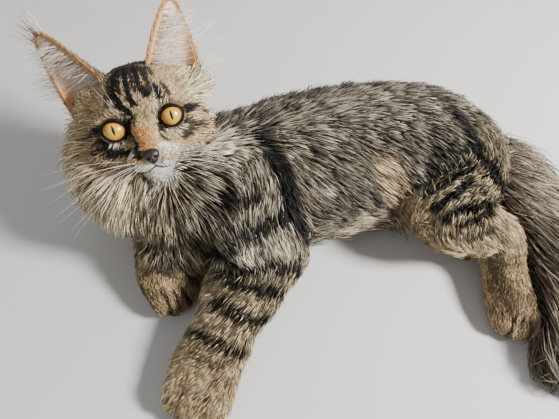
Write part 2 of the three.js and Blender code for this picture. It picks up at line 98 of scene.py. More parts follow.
class Limb:  # a round form through stations of [x, y, z, half width, half height], in millimetres
    steps = 25  # stretches that the search for the nearest place looks at

    def __init__(self, *stations):
        rows = np.array([[*s[0], *s[1:]] if len(s) == 3 else s for s in stations], float)
        self.path, self.sizes = rows[:, :3], rows[:, 3:]
        self.length = np.linalg.norm(np.diff(self.path, axis=0), axis=1).sum()
        self.samples = self.frames(np.linspace(0, 1, self.steps + 1))

    def frames(self, u):
        centre = curveAt(self.path, u)
        along = unit(curveAt(self.path, u + 1e-4) - curveAt(self.path, u - 1e-4))
        side = unit(np.cross(along, [0, 0, 1]))
        last = len(self.sizes) - 1
        i = np.minimum(np.floor(u * last).astype(int), last - 1)
        size = mix(self.sizes[i], self.sizes[i + 1], ramp(u * last - i, 0, 1)[:, None])
        return centre, along, side, np.cross(side, along), size

    def near(self, p):  # how far points lie outside, their place along, and round the section
        least = np.full(len(p), 1e9)
        at = np.zeros(len(p), int)
        for k, (c, along, side, lift, size) in enumerate(zip(*self.samples)):
            q = p - c
            small = size.min()
            reach = np.sqrt((q @ side / size[0]) ** 2 + (q @ lift / size[1]) ** 2 + (q @ along / small) ** 2)
            level = (reach - 1) * small
            better = level < least
            least[better], at[better] = level[better], k
        c, along, side, lift, size = (v[at] for v in self.samples)
        q = p - c
        turn = np.arctan2((q * lift).sum(1) / size[:, 1], (q * side).sum(1) / size[:, 0])
        u = at / self.steps + (q * along).sum(1) / self.length
        return least, u, turn, along

    def loft(self, shrink, rings=34, sides=30):  # its surface, closed by round ends
        ends, cap = 0.16, 0.6
        s = np.linspace(0, 1, rings + 1)
        u = np.clip((s - ends) / (1 - 2 * ends), 0, 1)
        c, along, side, lift, size = self.frames(u)
        over = np.where(s < ends, (s - ends) / ends, np.where(s > 1 - ends, (s - 1 + ends) / ends, 0))
        size = np.maximum(size - shrink, 1.5)
        c = c + along * (np.sin(over * math.pi / 2) * (cap * size.min(1)))[:, None]
        wide = size * np.cos(np.abs(over) * math.pi / 2)[:, None]
        a = np.linspace(0, 2 * math.pi, sides, endpoint=False)[None, :, None]
        v = c[:, None] + side[:, None] * wide[:, None, :1] * np.cos(a)
        v += lift[:, None] * wide[:, None, 1:] * np.sin(a)
        v = np.concatenate([v[1:-1].reshape(-1, 3), c[:1], c[-1:]])
        return v, tubeFaces(rings - 1, sides)


def tubeFaces(rings, sides):  # rings of vertices, closed by a point before and one after them
    k = np.arange(sides)
    after = (k + 1) % sides
    faces = []
    for r in range(rings - 1):
        low, high = r * sides, (r + 1) * sides
        faces += np.stack([low + k, high + k, high + after, low + after], 1).tolist()
    first, last = rings * sides, rings * sides + 1
    faces += np.stack([np.full(sides, first), k, after], 1).tolist()
    end = (rings - 1) * sides
    return faces + np.stack([end + after, end + k, np.full(sides, last)], 1).tolist()


joints = {
    "chestFront": [-136, -74, 44],
    "elbowLeft": [-60, -92, 40],
    "wristLeft": [-84, -156, 15],
    "elbowRight": [-106, -101, 19],
    "wristRight": [-141, -104, 21],
    "kneeLeft": [60, -48, 46],
    "hockLeft": [116, -45, 27],
    "kneeRight": [48, -26, 17],
    "hockRight": [104, -10, 13],
    "tailBend": [150, -4, 19],
}
limbs = {
    "torso": Limb(
        [joints["chestFront"], 36, 42],
        [-112, -62, 43, 46, 46],
        [-58, -26, 43, 54, 47],
        [-12, 0, 42, 55, 46],
        [34, 14, 42, 56, 46],
        [72, 20, 40, 49, 43],
        [90, 32, 37, 31, 30],
    ),
    "neck": Limb([-138, -64, 46, 42, 37], [-160, -53, 57, 46, 33], [-172, -33, 78, 37, 27]),
    "upper_foreleg_left": Limb([-86, -58, 66, 36, 24], [-80, -80, 54, 33, 22], [joints["elbowLeft"], 26, 19]),
    "forearm_left": Limb(
        [joints["elbowLeft"], 25, 17],
        [-76, -126, 26, 24, 16],
        [joints["wristLeft"], 17, 13],
    ),
    "forepaw_left": Limb([joints["wristLeft"], 18, 14], [-90, -176, 12, 20, 13], [-91, -190, 10, 20, 11.5]),
    "upper_foreleg_right": Limb([-131, -88, 30, 21, 21], [joints["elbowRight"], 19, 17]),
    "forearm_right": Limb([joints["elbowRight"], 17, 15], [joints["wristRight"], 15, 14]),
    "forepaw_right": Limb([joints["wristRight"], 15, 14], [-135, -120, 15, 16, 13], [-126, -130, 12, 15, 13]),
    "thigh_left": Limb([74, 16, 54, 38, 28], [66, -14, 52, 36, 26], [joints["kneeLeft"], 26, 20]),
    "lower_leg_left": Limb([joints["kneeLeft"], 24, 19], [90, -46, 36, 21, 17], [joints["hockLeft"], 14, 14]),
    "hindpaw_left": Limb(
        [joints["hockLeft"], 14, 14],
        [120, -70, 18, 14, 13],
        [124, -94, 12, 17, 13],
        [126, -104, 10, 16, 11.5],
    ),
    "thigh_right": Limb([72, 10, 20, 30, 18], [joints["kneeRight"], 20, 15]),
    "lower_leg_right": Limb([joints["kneeRight"], 18, 15], [joints["hockRight"], 13, 12]),
    "hindpaw_right": Limb([joints["hockRight"], 13, 12], [104, -34, 11, 12, 11.5], [98, -46, 9, 13, 10.5]),
    "tail_base": Limb([90, 46, 36, 13, 13], [122, 34, 28, 17, 14], [joints["tailBend"], 20, 15]),
    "tail_end": Limb(
        [joints["tailBend"], 20, 15],
        [163, -56, 15, 20, 14],
        [162, -104, 11, 15, 12.5],
        [155, -136, 7, 8, 8],
    ),
}
pawNames = [name for name in limbs if "paw" in name]

# The head's own frame: leftward, crown and gaze, from midway between the eyes
headPlace = np.array([-151, -61.1, 106.8])
gaze = unit(np.array([0.234, -0.729, 0.643]))
leftward = np.array([0.893, 0.423, 0.155])
leftward = unit(leftward - gaze * (leftward @ gaze))
crown = np.cross(gaze, leftward)
headTurn = np.stack([leftward, crown, gaze])


def toHead(p):
    return (p - headPlace) @ headTurn.T


def fromHead(p):
    return np.asarray(p, float) @ headTurn + headPlace


def paired(rows):
    return [[side * r[0], *r[1:]] for r in rows for side in (1, -1)]


headShape = {  # masses as [left, up, forward, half width, half height, half depth]
    "middle": [
        [0, 10, -26, 31, 25, 30],
        [0, -10, -29, 29, 22, 26],
        [0, 13, -6, 19, 13, 11],
        [0, -5, 5, 8, 11, 8],
        [0, -16.5, 9.8, 6.5, 5.5, 6.5],
        [0, -18, -3, 16, 12, 11],
        [0, -30, 2.5, 8, 6.5, 9],
    ],
    "pairs": [
        [7.4, -21, 7.5, 8.6, 6.8, 8.5],
        [21, -11, -12, 14, 14, 14],
        [17.5, 0, -4.8, 12.5, 11.2, 11.5],
        [14, 10, -2, 8, 5.5, 6],
        [27, 17, -25, 11, 10, 11],
    ],
    "blend": 1.4,  # how softly the masses run together
    "centre": [0, -8, -9],
    "eyeSpacing": 35,
    "eyeRadius": 8.6,
}
headMasses = np.array(headShape["middle"] + paired(headShape["pairs"]), float)
eyeOffset = headShape["eyeSpacing"] / 2


def headLevel(p):  # how far points lie outside the head
    total = np.zeros(len(p))
    for mass in headMasses:
        q = (p - mass[:3]) / mass[3:]
        near = np.linalg.norm(q, axis=1)
        steep = np.maximum(np.linalg.norm(q / mass[3:], axis=1), 1e-6)
        total += np.exp(np.minimum(-near * (near - 1) / steep / headShape["blend"], 300))
    return -headShape["blend"] * np.log(np.maximum(total, 1e-300))


def headSurface(direction, extra=0.0):  # where rays from the head's centre leave it
    near, far = np.full(len(direction), 4.0), np.full(len(direction), 70.0)
    centre = np.array(headShape["centre"], float)
    for _ in range(24):
        middle = (near + far) / 2
        inside = headLevel(centre + direction * middle[:, None]) < extra
        near, far = np.where(inside, middle, near), np.where(inside, far, middle)
    return centre + direction * near[:, None]


def ontoHead(p, extra):  # points moved onto the head's surface along the rays from its centre
    return headSurface(unit(p - np.array(headShape["centre"], float)), extra)


def addObject(name, data):
    made = bpy.data.objects.new(name, data)
    bpy.context.scene.collection.objects.link(made)
    return made


def meshPiece(name, vertices, faces, smooth=True):
    mesh = bpy.data.meshes.new(name)
    mesh.from_pydata(np.asarray(vertices, float) * mm, [], faces)
    if smooth:
        mesh.shade_smooth()
    return addObject(name, mesh)


def joinParts(parts):  # several pairs of vertices and faces as one
    vertices, faces, total = [], [], 0
    for v, f in parts:
        vertices.append(v)
        faces += [[k + total for k in face] for face in f]
        total += len(v)
    return np.concatenate(vertices), faces


def readAll(rows, field, wide=1, kind=float):  # one field of a mesh's vertices, edges, corners or faces
    values = np.empty(len(rows) * wide, kind)
    rows.foreach_get(field, values)
    return values.reshape(-1, wide) if wide > 1 else values


def appliedMesh(piece):  # a piece's mesh with its modifiers applied
    return bpy.data.meshes.new_from_object(piece.evaluated_get(bpy.context.evaluated_depsgraph_get()))


# The skin: every limb and the head as one surface, inside the coat
skinShape = {
    "grain": 1.5,  # size of the surface's cells
    "depth": {"torso": 4, "neck": 5, "tail_base": 4, "tail_end": 5, "thigh_left": 3, "thigh_right": 3},
    "legDepth": 2,
    "pawDepth": 0.8,
    "headDepth": 0.5,
    "smoothing": 14,  # rounds that soften the places where limbs meet
    "soft": 0.6,  # share of a round on the body, and how much less of it on face and toes
    "firm": 0.5,
    "lowest": 0.6,  # over the floor
    "toePlaces": (-0.68, -0.23, 0.23, 0.68),  # across the paw, as shares of its half width
    "toeSize": 0.27,
    "toeReach": 7,
    "eyeHollow": (6.7, 5.8),
    "hollowDepth": 1.2,  # under the ball of the eye
}


def toesOf(limb):  # four rounded toes over a paw's end, as [centre, size, axes]
    c, along, side, lift, size = (v[-1] for v in limb.samples)
    for place in skinShape["toePlaces"]:
        reach = skinShape["toeReach"] - 9 * place * place
        centre = c + side * place * size[0] + along * reach + [0, 0, 0.5]
        yield centre, size[0] * skinShape["toeSize"], (side, along)


def roundBall(centre, sizes, axes, detail=4):
    ball = bmesh.new()
    bmesh.ops.create_icosphere(ball, subdivisions=detail, radius=1)
    v = np.array([p.co for p in ball.verts])
    faces = [[p.index for p in f.verts] for f in ball.faces]
    ball.free()
    return centre + (v * sizes) @ np.asarray(axes), faces


def makeSkin():
    parts = []
    for name, limb in limbs.items():
        depth = skinShape["depth"].get(name, skinShape["legDepth"])
        parts.append(limb.loft(skinShape["pawDepth"] if name in pawNames else depth))
        if name in pawNames:
            for centre, size, (side, along) in toesOf(limb):
                parts.append(roundBall(centre, [size, size * 1.9, size * 1.45], [side, along, [0, 0, 1]]))
    directions, faces = roundBall(np.zeros(3), 1, np.eye(3), 6)
    parts.append((fromHead(headSurface(unit(directions), -skinShape["headDepth"])), faces))
    rough = meshPiece("rough", *joinParts(parts))
    remesh = rough.modifiers.new("remesh", "REMESH")
    remesh.mode, remesh.voxel_size = "VOXEL", skinShape["grain"] * mm
    whole = appliedMesh(rough)
    bpy.data.objects.remove(rough)
    return whole


skinMesh = makeSkin()
skinPlaces = readAll(skinMesh.vertices, "co", 3) / mm
skinEdges = readAll(skinMesh.edges, "vertices", 2, int)
neighbours = np.bincount(skinEdges.ravel(), minlength=len(skinPlaces))[:, None]


def spread(values):  # the mean of each vertex's neighbours
    total = np.zeros_like(values)
    for k in range(values.shape[1]):
        total[:, k] += np.bincount(skinEdges[:, 0], values[skinEdges[:, 1], k], len(values))
        total[:, k] += np.bincount(skinEdges[:, 1], values[skinEdges[:, 0], k], len(values))
    return total / neighbours


def softened(places):  # smooth where limbs meet, and less so on the face and the toes
    q = toHead(places)
    firm = ramp(q[:, 2], -22, -6) * ramp(-headLevel(q), -6, -2)
    for name in pawNames:
        centre, along, side, lift, size = (v[-1] for v in limbs[name].samples)
        gap = places - centre
        firm = np.maximum(firm, ramp(gap @ along, -3, 3) * (np.linalg.norm(gap, axis=1) < 26))
    for _ in range(skinShape["smoothing"]):
        places = mix(places, spread(places), (skinShape["soft"] - skinShape["firm"] * firm)[:, None])
    places[:, 2] = np.maximum(places[:, 2], skinShape["lowest"])
    return places


def hollowed(q):  # room for the eyes, in the head's frame
    wide, high = skinShape["eyeHollow"]
    for side in (1, -1):
        across, above = q[:, 0] - side * eyeOffset, q[:, 1]
        ball = np.sqrt(np.maximum(headShape["eyeRadius"] ** 2 - np.hypot(across, above) ** 2, 4))
        inner = (q[:, 2] > -2) * (1 - ramp(np.hypot(across / wide, above / high), 0.95, 1.15))
        q[:, 2] = mix(q[:, 2], np.minimum(q[:, 2], ball - skinShape["hollowDepth"]), inner)
    return q


inHeadSkin = hollowed(toHead(softened(skinPlaces)))
headLeft, headUp, headAhead = inHeadSkin.T
skinPlaces = fromHead(inHeadSkin)
skinMesh.vertices.foreach_set("co", (skinPlaces * mm).ravel())
skinMesh.shade_smooth()
skinMesh.update()
skinNormals = readAll(skinMesh.vertices, "normal", 3)
skin = addObject("skin", skinMesh)
print("skin made,", len(skinPlaces), "vertices")

# How the coat grows, region by region: length and height of the tips, width of a tuft, how thickly they
# stand, and the lie as shares of several ways: along the limb, sideways, away from the face, along the
# gaze, and the fixed ways
coatWays = {"down": (0, 0, -1), "east": (1, 0.1, 0.12), "front": (-0.8, -0.52, 0.2)}
lie = {
    "nose": (0, -9, 15),  # the head's coat runs away from here, in the head's frame
    "noseLift": 4,
    "eyeRing": (8, 13),  # the coat parts round the eyes within these distances
    "eyeShare": 0.7,
    "nape": (28, 44),  # behind the eyes, where the neck's coat turns back along the body
    "napeWay": (0.8, 0.5, -0.35),
    "rounds": 18,  # that even the lie out
    "evening": 0.6,
}
coats = {
    "torso": dict(length=24, rise=9, width=0.5, thick=0.62, along=0.85, side=0.3),
    "neck": dict(length=36, rise=15, width=0.55, thick=0.85, fromFace=1, gaze=-0.4, down=0.3),
    "upper_foreleg_left": dict(length=20, rise=7.5, width=0.46, thick=0.85, along=1, side=0.3),
    "forearm_left": dict(length=16, rise=6, width=0.36, thick=1.5, along=1, side=0.35),
    "forepaw_left": dict(length=11, rise=4.2, width=0.26, thick=3.0, along=1, side=0.6),
    "upper_foreleg_right": dict(length=16, rise=5, width=0.55, thick=0.45, along=1),
    "forearm_right": dict(length=12, rise=4, width=0.34, thick=1.4, along=1),
    "forepaw_right": dict(length=8, rise=2.6, width=0.26, thick=2.6, along=1),
    "thigh_left": dict(length=19, rise=8, width=0.44, thick=0.95, along=0.25, side=0.1, down=0.12, front=1.0),
    "lower_leg_left": dict(length=15, rise=6, width=0.32, thick=2.0, along=1, side=0.45),
    "hindpaw_left": dict(length=8, rise=2.8, width=0.25, thick=3.0, along=1, side=0.3),
    "thigh_right": dict(length=14, rise=4, width=0.6, thick=0.35, along=1),
    "lower_leg_right": dict(length=10, rise=3, width=0.55, thick=0.5, along=1),
    "hindpaw_right": dict(length=8, rise=2, width=0.45, thick=0.9, along=1),
    "tail_base": dict(length=46, rise=20, width=0.56, thick=0.72, along=0.6, east=0.75),
    "tail_end": dict(length=46, rise=20, width=0.58, thick=0.66, along=0.9, east=0.4),
    "head": dict(length=6, rise=1.9, width=0.3, thick=3.2),
}
# Colours of a hair's root, middle and tip; the dark roots are partly the undercoat's own colour, partly
# painted shade deep in the coat
furTones = {
    "torso": [(40, 35, 30), (94, 86, 73), (160, 149, 128)],
    "neck": [(150, 130, 98), (214, 196, 156), (238, 224, 190)],
    "upper_foreleg_left": [(62, 54, 45), (166, 154, 130), (204, 192, 166)],
    "forearm_left": [(78, 64, 48), (182, 160, 124), (214, 198, 164)],
    "forepaw_left": [(92, 76, 56), (192, 166, 124), (226, 208, 172)],
    "upper_foreleg_right": [(70, 56, 42), (150, 130, 100), (160, 140, 108)],
    "forearm_right": [(72, 58, 44), (150, 130, 100), (170, 148, 114)],
    "forepaw_right": [(78, 62, 46), (152, 128, 94), (182, 158, 120)],
    "thigh_left": [(54, 46, 38), (168, 150, 116), (208, 188, 150)],
    "lower_leg_left": [(66, 54, 42), (184, 158, 118), (222, 202, 162)],
    "hindpaw_left": [(72, 58, 44), (182, 154, 114), (220, 198, 158)],
    "thigh_right": [(66, 54, 42), (146, 124, 94), (150, 130, 100)],
    "lower_leg_right": [(80, 62, 44), (156, 128, 92), (160, 134, 98)],
    "hindpaw_right": [(90, 68, 48), (172, 138, 98), (184, 154, 112)],
    "tail_base": [(78, 68, 58), (152, 136, 116), (182, 168, 146)],
    "tail_end": [(62, 54, 47), (124, 111, 96), (140, 128, 112)],
    "head": [(96, 78, 54), (196, 170, 128), (208, 186, 146)],
}
toneRows = np.array([[colour(*c) for c in rows] for rows in furTones.values()])


def waves(p, size, seed):  # smooth random variation from -1 to 1 over millimetres of that size
    dice = np.random.default_rng(seed)
    total = np.zeros(len(p))
    for _ in range(9):
        k = unit(dice.normal(size=3)) * 6.3 / (size * dice.uniform(0.7, 1.7))
        total += np.sin(p @ k + dice.uniform(0, 6.3))
    return total / 3.6


def regionsAt(p):  # each region's share of points, their place along and round it, and the way along
    levels, places, ways = [], {}, []
    for name, limb in limbs.items():
        level, u, turn, along = limb.near(p)
        levels.append(level)
        places[name] = (u, turn)
        ways.append(along)
    levels.append(headLevel(toHead(p)) - 1.0)
    ways.append(np.zeros_like(p))
    levels = np.array(levels)
    near = np.exp(-(levels - levels.min(0)) / 2.5)
    return near / near.sum(0), places, np.array(ways)


shares, limbPlaces, ways = regionsAt(skinPlaces)
regionNames = list(coats)
onHead = shares[-1]


def shareOf(name):  # a region's share of each vertex
    return shares[regionNames.index(name)]


def fromFaceWay(p):
    q = p - headPlace
    return unit(q - gaze * (q @ gaze)[:, None])


def headWay():  # away from the nose, and parted round each eye
    q = inHeadSkin - np.array(lie["nose"])
    q[:, 2] -= lie["noseLift"]
    q[:, 0] *= 1.25
    way = unit(q) @ headTurn + np.array([0, 0, -0.12])
    for side in (1, -1):
        away = inHeadSkin - [side * eyeOffset, 0, 0]
        away[:, 2] = 0
        near = 1 - ramp(np.hypot(away[:, 0], away[:, 1] * 1.15), *lie["eyeRing"])
        way = way + (unit(away) @ headTurn) * (lie["eyeShare"] * near)[:, None]
    return way


def limbWay(name, coat, along):
    side = unit(np.cross(along, [0, 0, 1]))
    way = along * coat.get("along", 0) + side * coat.get("side", 0)
    way = way + fromFaceWay(skinPlaces) * coat.get("fromFace", 0) + gaze * coat.get("gaze", 0)
    for key, fixed in coatWays.items():
        way = way + np.array(fixed) * coat.get(key, 0)
    if name == "neck":  # the nape lies back along the body
        back = ramp(-toHead(skinPlaces)[:, 2], *lie["nape"])[:, None]
        way = mix(way, np.array(lie["napeWay"]), back)
    if name == "torso":  # a fan behind the shoulder: up at the neck, down along the belly
        u, turn = limbPlaces[name]
        fan = 1.6 - 0.9 * ramp(u, 0.15, 0.8)
        way = way + side * (fan * np.cos(turn))[:, None]
        front = (1 - ramp(u, 0.0, 0.16))[:, None]
        way = way * (1 - front) + (fromFaceWay(skinPlaces) - gaze * 0.4 + [0, 0, -0.3]) * front
    return way


def alongSkin(flow):
    return flow - skinNormals * (flow * skinNormals).sum(1)[:, None]


def layCoat():  # the way the coat lies at each vertex of the skin
    flow = np.zeros_like(skinPlaces)
    for k, (name, coat) in enumerate(coats.items()):
        way = headWay() if name == "head" else limbWay(name, coat, ways[k])
        flow += unit(way) * shares[k][:, None]
    for _ in range(lie["rounds"]):
        flow = alongSkin(flow)
        flow = mix(unit(flow), spread(flow), lie["evening"])
    return unit(alongSkin(flow))


skinFlow = layCoat()
growth = {}
for key in ("length", "rise", "width", "thick"):
    growth[key] = np.array([coat[key] for coat in coats.values()]) @ shares
cheek = onHead * ramp(np.abs(headLeft), 20, 34) * (1 - ramp(headUp, 6, 18)) * (1 - ramp(headAhead, 0, 6))
rearHead = onHead * (1 - ramp(headAhead, -24, -8))
muzzle = onHead * ramp(headAhead, 2, 9)
for key, more, behind, less in (("length", 15, 7, 3.2), ("rise", 6, 1.2, 1.0), ("width", 0.2, 0.2, 0.08)):
    growth[key] += cheek * more + rearHead * behind - muzzle * less
growth["thick"] -= onHead * (cheek * 1.1 + rearHead * 1.5)
for key in growth:
    growth[key] = spread(spread(growth[key][:, None]))[:, 0]
print("coat laid")

# The short coat of the muzzle and the crown, the mane beside the cheeks and the belly's fringe
for centre, sizes, values in (
    ((3, -25, 12), (14, 8, 10), dict(length=2.6, rise=0.75, width=0.2, thick=6.0)),
    ((0, -6, 10), (9, 14, 9), dict(length=3.2, rise=0.8, width=0.22, thick=5.0)),
    ((0, 26, -6), (20, 14, 15), dict(length=5.5, rise=1.2, width=0.26, thick=4.4)),
    ((35, -5, -24), (14, 22, 13), dict(length=24, rise=14, width=0.44, thick=1.5)),
    ((-35, -5, -26), (14, 22, 12), dict(length=22, rise=12, width=0.44, thick=1.5)),
):
    gap = np.linalg.norm((inHeadSkin - np.array(centre, float)) / np.array(sizes, float), axis=1)
    here = onHead * (1 - ramp(gap, 0.75, 1.35))
    for part, value in values.items():
        growth[part] = mix(growth[part], value, here)
nape = (shareOf("neck") + onHead) * ramp(headUp, 8, 22) * ramp(-headAhead, 14, 24)
nape = nape * (1 - ramp(np.abs(headLeft), 24, 34))
growth["length"] = mix(growth["length"], 13, nape)
growth["rise"] = mix(growth["rise"], 2.5, nape)
fringe = ramp(-skinNormals[:, 1], 0.1, 0.6) * (1 - ramp(skinPlaces[:, 2], 24, 46))
fringe = fringe * (shareOf("torso") + shareOf("thigh_left"))
growth["length"] += 6 * fringe
growth["rise"] += 5 * fringe

# Markings as [points, half width, strength], and a colour where they are pale; those of the head are in
# its own frame
bodyStripes = [
    [  # the band behind the shoulder, then the bars down the left foreleg
        [(-83, -39, 89), (-73, -55, 92), (-64, -62, 82), (-55, -76, 66), (-47, -86, 52), (-40, -92, 38)],
        7.0,
        1.0,
    ],
    [[(-98, -107, 46), (-94, -107, 52), (-84, -102, 66), (-68, -93, 72), (-53, -82, 60)], 5.2, 1.0],
    [[(-102, -92, 73), (-91, -89, 85), (-78, -80, 79)], 4.6, 1.0],
    [
        [
            (-88, -119, 36),
            (-85, -119, 41),
            (-73, -115, 47),
            (-61, -111, 50),
            (-48, -110, 47),
            (-38, -108, 38),
        ],
        4.8,
        1.0,
    ],
    [[(-81, -126, 42), (-66, -126, 43), (-53, -127, 42), (-48, -126, 34)], 4.4, 1.0],
    [[(-88, -138, 33), (-85, -139, 39), (-75, -143, 36), (-63, -146, 32), (-56, -138, 26)], 4.2, 1.0],
    [[(-97, -157, 20), (-94, -159, 26), (-87, -161, 27), (-78, -163, 27), (-70, -164, 20)], 3.6, 1.0],
    [[(-100, -168, 18), (-97, -170, 24), (-88, -173, 25), (-80, -175, 23)], 2.6, 0.8],
    # The hind foot, the rump, the nape and the line beside the back
    [[(106, -72, 28), (113, -72, 30), (122, -70, 26)], 2.2, 0.6],
    [[(50, 26, 90), (66, 2, 86), (78, -18, 81), (94, -22, 66), (112, -14, 46)], 5.5, 1.0],
    [[(-104, -40, 80), (-94, -30, 88), (-82, -22, 90)], 4.6, 0.7],
    [[(-62, 8, 88), (-30, 28, 86), (0, 42, 80), (40, 52, 72), (72, 50, 62)], 7.0, 0.5],
    # The folded foreleg and the chest
    [[(-142, -98, 20), (-128, -112, 32), (-116, -112, 34)], 2.8, 0.6],
    [[(-132, -112, 30), (-124, -118, 32), (-116, -116, 34)], 2.4, 0.6],
    [[(-118, -100, 62), (-110, -104, 50), (-104, -108, 36)], 3.0, 0.75],
    [[(-132, -104, 52), (-124, -110, 40)], 2.6, 0.6],
    # The bars of the thigh, the line down the rump and the dark streak down the hind leg
    [[(41, -20, 81), (51, -16, 81), (62, -10, 82)], 2.7, 1.0],
    [[(34, -30, 75), (46, -25, 77), (56, -20, 80), (66, -15, 81)], 2.3, 0.95],
    [[(32, -39, 65), (43, -35, 70), (55, -29, 77), (68, -24, 80)], 3.3, 1.0],
    [[(40, -46, 63), (50, -42, 70), (60, -35, 76), (69, -29, 78)], 2.5, 1.0],
    [[(47, -56, 63), (54, -53, 68), (62, -45, 71), (71, -36, 75)], 3.0, 1.0],
    [[(56, -62, 63), (63, -58, 67), (76, -52, 66), (99, -35, 53)], 3.3, 1.0],
    [[(65, -68, 61), (71, -63, 63), (81, -56, 61), (93, -47, 57)], 2.9, 1.0],
    [[(77, -69, 55), (87, -63, 55), (97, -57, 54)], 2.5, 0.95],
    [[(70, -5, 83), (79, -21, 79), (90, -29, 71), (127, -8, 26)], 3.0, 1.0],
    [[(101, -52, 35), (108, -62, 29), (111, -75, 25), (115, -87, 21), (120, -100, 18)], 4.6, 0.62],
]
for name in pawNames:  # the clefts between toes
    centre, along, side, lift, size = (v[-1] for v in limbs[name].samples)
    for gap in (-0.42, 0.0, 0.42):
        low = centre + side * gap * size[0] * 1.15 + along * 13 - [0, 0, 4]
        high = centre + side * gap * size[0] * 0.9 + along * 4 + [0, 0, size[1]]
        bodyStripes.append([[tuple(low), tuple((low + high) / 2 + along * 2), tuple(high)], 1.3, 0.95])
headStripes = [
    # The crown, from the middle of the brow to its sides
    [[(-4, 33, -14), (-6, 25, -3), (-7, 19, 2)], 1.5, 0.95],
    [[(0.5, 33, -14), (1, 24, 0), (2, 18, 4)], 1.3, 0.95],
    [[(11, 31, -12), (13, 25, -4)], 1.6, 0.8],
    [[(-12, 29, -10), (-13.5, 22, -2), (-13, 17, 1)], 1.8, 0.85],
    [[(-6, 33, -15), (-9, 25, -4), (-10.5, 20, 1), (-9, 13, 4), (-6.5, 7, 7)], 2.7, 1.0],
    [[(-2, 33, -15), (-2, 22, 2), (-2.4, 15, 5), (-1, 11, 6)], 1.9, 1.0],
    [[(3, 33, -15), (4.4, 21, 3), (7, 14, 5)], 2.1, 1.0],
    [[(7, 30, -10), (9.5, 21, 2), (8.5, 15, 4)], 1.8, 0.95],
    [[(12.5, 20, 1), (14, 11, 5)], 2.1, 1.0],
    [[(18.5, 19, 0), (19, 12.5, 3)], 1.8, 0.95],
    [[(-17, 21, -1), (-16, 12, 3)], 1.3, 0.7],
    [[(-8, 29, -10), (0, 30, -11), (8, 28, -9)], 5.4, 0.95],
    [[(-11, 37, -20), (0, 38, -21), (11, 37, -20)], 7.0, 0.92],
    # Under the eyes, on the cheeks and beside the bridge of the nose
    [[(26, -6, 2), (26, -10, 0), (21, -13, 3)], 3.0, 0.92],
    [[(29, -9, -3), (33, -13, -10)], 2.2, 0.9],
    [[(-27, -6, 1), (-24, -12, 1), (-16, -14, 5)], 3.2, 1.0],
    [[(-29, -9, -3), (-33, -13, -10)], 2.4, 0.9],
    [[(29, -17, -6), (33, -25, -13)], 2.6, 0.6],
    [[(-29, -17, -6), (-33, -25, -13)], 2.8, 0.75],
    [[(9.5, -3, 6), (9.5, -8, 6), (11, -13, 6)], 1.4, 0.95],
    # the right side's band beside the bridge is twice as wide as the left's: partly the tear line, partly
    # painted shade of that side of the face
    [[(-8, 3, 6), (-9, -5, 6), (-8, -12, 9), (-7, -17, 13)], 2.9, 0.97],
    [[(-3, 6, 8), (-3, 0, 9)], 1.2, 0.7],
    [[(4, 7, 7), (3, 2, 9)], 0.9, 0.55],
]
evenStripes = [  # the lines back from the eyes' outer corners, the same on both sides
    [[(24, 2, 3), (30, 0, -6), (34, -5, -14), (35, -12, -19)], 2.4, 1.0],
    [[(33, -3, -11), (35, -9, -17)], 4.0, 0.9],
]
whiskerSpots = [[12, -18.5, 12], [16, -18.5, 7], [11, -21.5, 13], [15, -21.5, 9], [13, -24, 10], [18, -22, 4]]
evenStripes += [[[(x, y, z), (x + 1.2, y + 0.1, z - 0.8)], 0.55, 0.8] for x, y, z in whiskerSpots]
for points, half, strength in evenStripes:
    headStripes += [[[(side * x, y, z) for x, y, z in points], half, strength] for side in (1, -1)]
headPale = [
    [[(8.5, 0, 6), (8.5, 5, 5), (10, 9, 5), (15, 11, 4)], 2.0, 0.9, (226, 210, 178)],
    [[(-9, 5, 5), (-9, 8, 5), (-13, 11, 4)], 2.0, 0.75, (218, 198, 164)],
    [[(12, -8, 4), (18, -9, 4), (24, -7, 2)], 2.0, 0.85, (232, 218, 190)],
    [[(-12, -7.5, 5), (-19, -8.5, 4), (-25, -5, 2)], 1.8, 0.95, (236, 226, 206)],
    [[(-1, -5, 11), (-1, -9, 13), (0, -14.5, 16)], 3.6, 0.95, (212, 146, 80)],
    [[(5, 2, 8), (6, -8, 10), (8, -15, 12)], 2.2, 0.8, (222, 182, 128)],
    # the right side of the muzzle is given a darker, more orange tone than the left: painted shade of that
    # side of the face
    [[(6, -17, 14), (11, -18, 12), (16, -20, 7)], 4.4, 0.95, (240, 214, 168)],
    [[(-7, -18, 13), (-11, -19, 12), (-16, -20, 7)], 3.6, 0.9, (206, 160, 106)],
    [[(-9, -25, 12), (-4, -24, 14), (4, -24, 14), (10, -26, 11)], 3.0, 0.95, (250, 242, 226)],
    [[(0, -34, 6), (0, -30, 9), (5, -36, 2), (-5, -36, 2)], 8.5, 1.0, (250, 244, 232)],
    [[(12, -14, 9), (18, -16, 4)], 2.4, 0.6, (206, 164, 116)],
    # the right side's copies of the cheek and mane marks are darker than the left's: painted shade of that
    # side of the face
    [[(20, -26, -4), (26, -30, -12), (30, -34, -20)], 6.5, 0.8, (236, 226, 204)],
    [[(-20, -26, -4), (-26, -30, -12), (-30, -34, -20)], 6.5, 0.75, (226, 210, 180)],
    [[(34, 14, -20), (37, 4, -24), (38, -8, -26), (36, -22, -24)], 9.0, 0.85, (232, 216, 178)],
    [[(-34, 10, -22), (-37, 2, -26), (-38, -8, -28), (-36, -22, -26)], 8.0, 0.7, (212, 192, 154)],
]
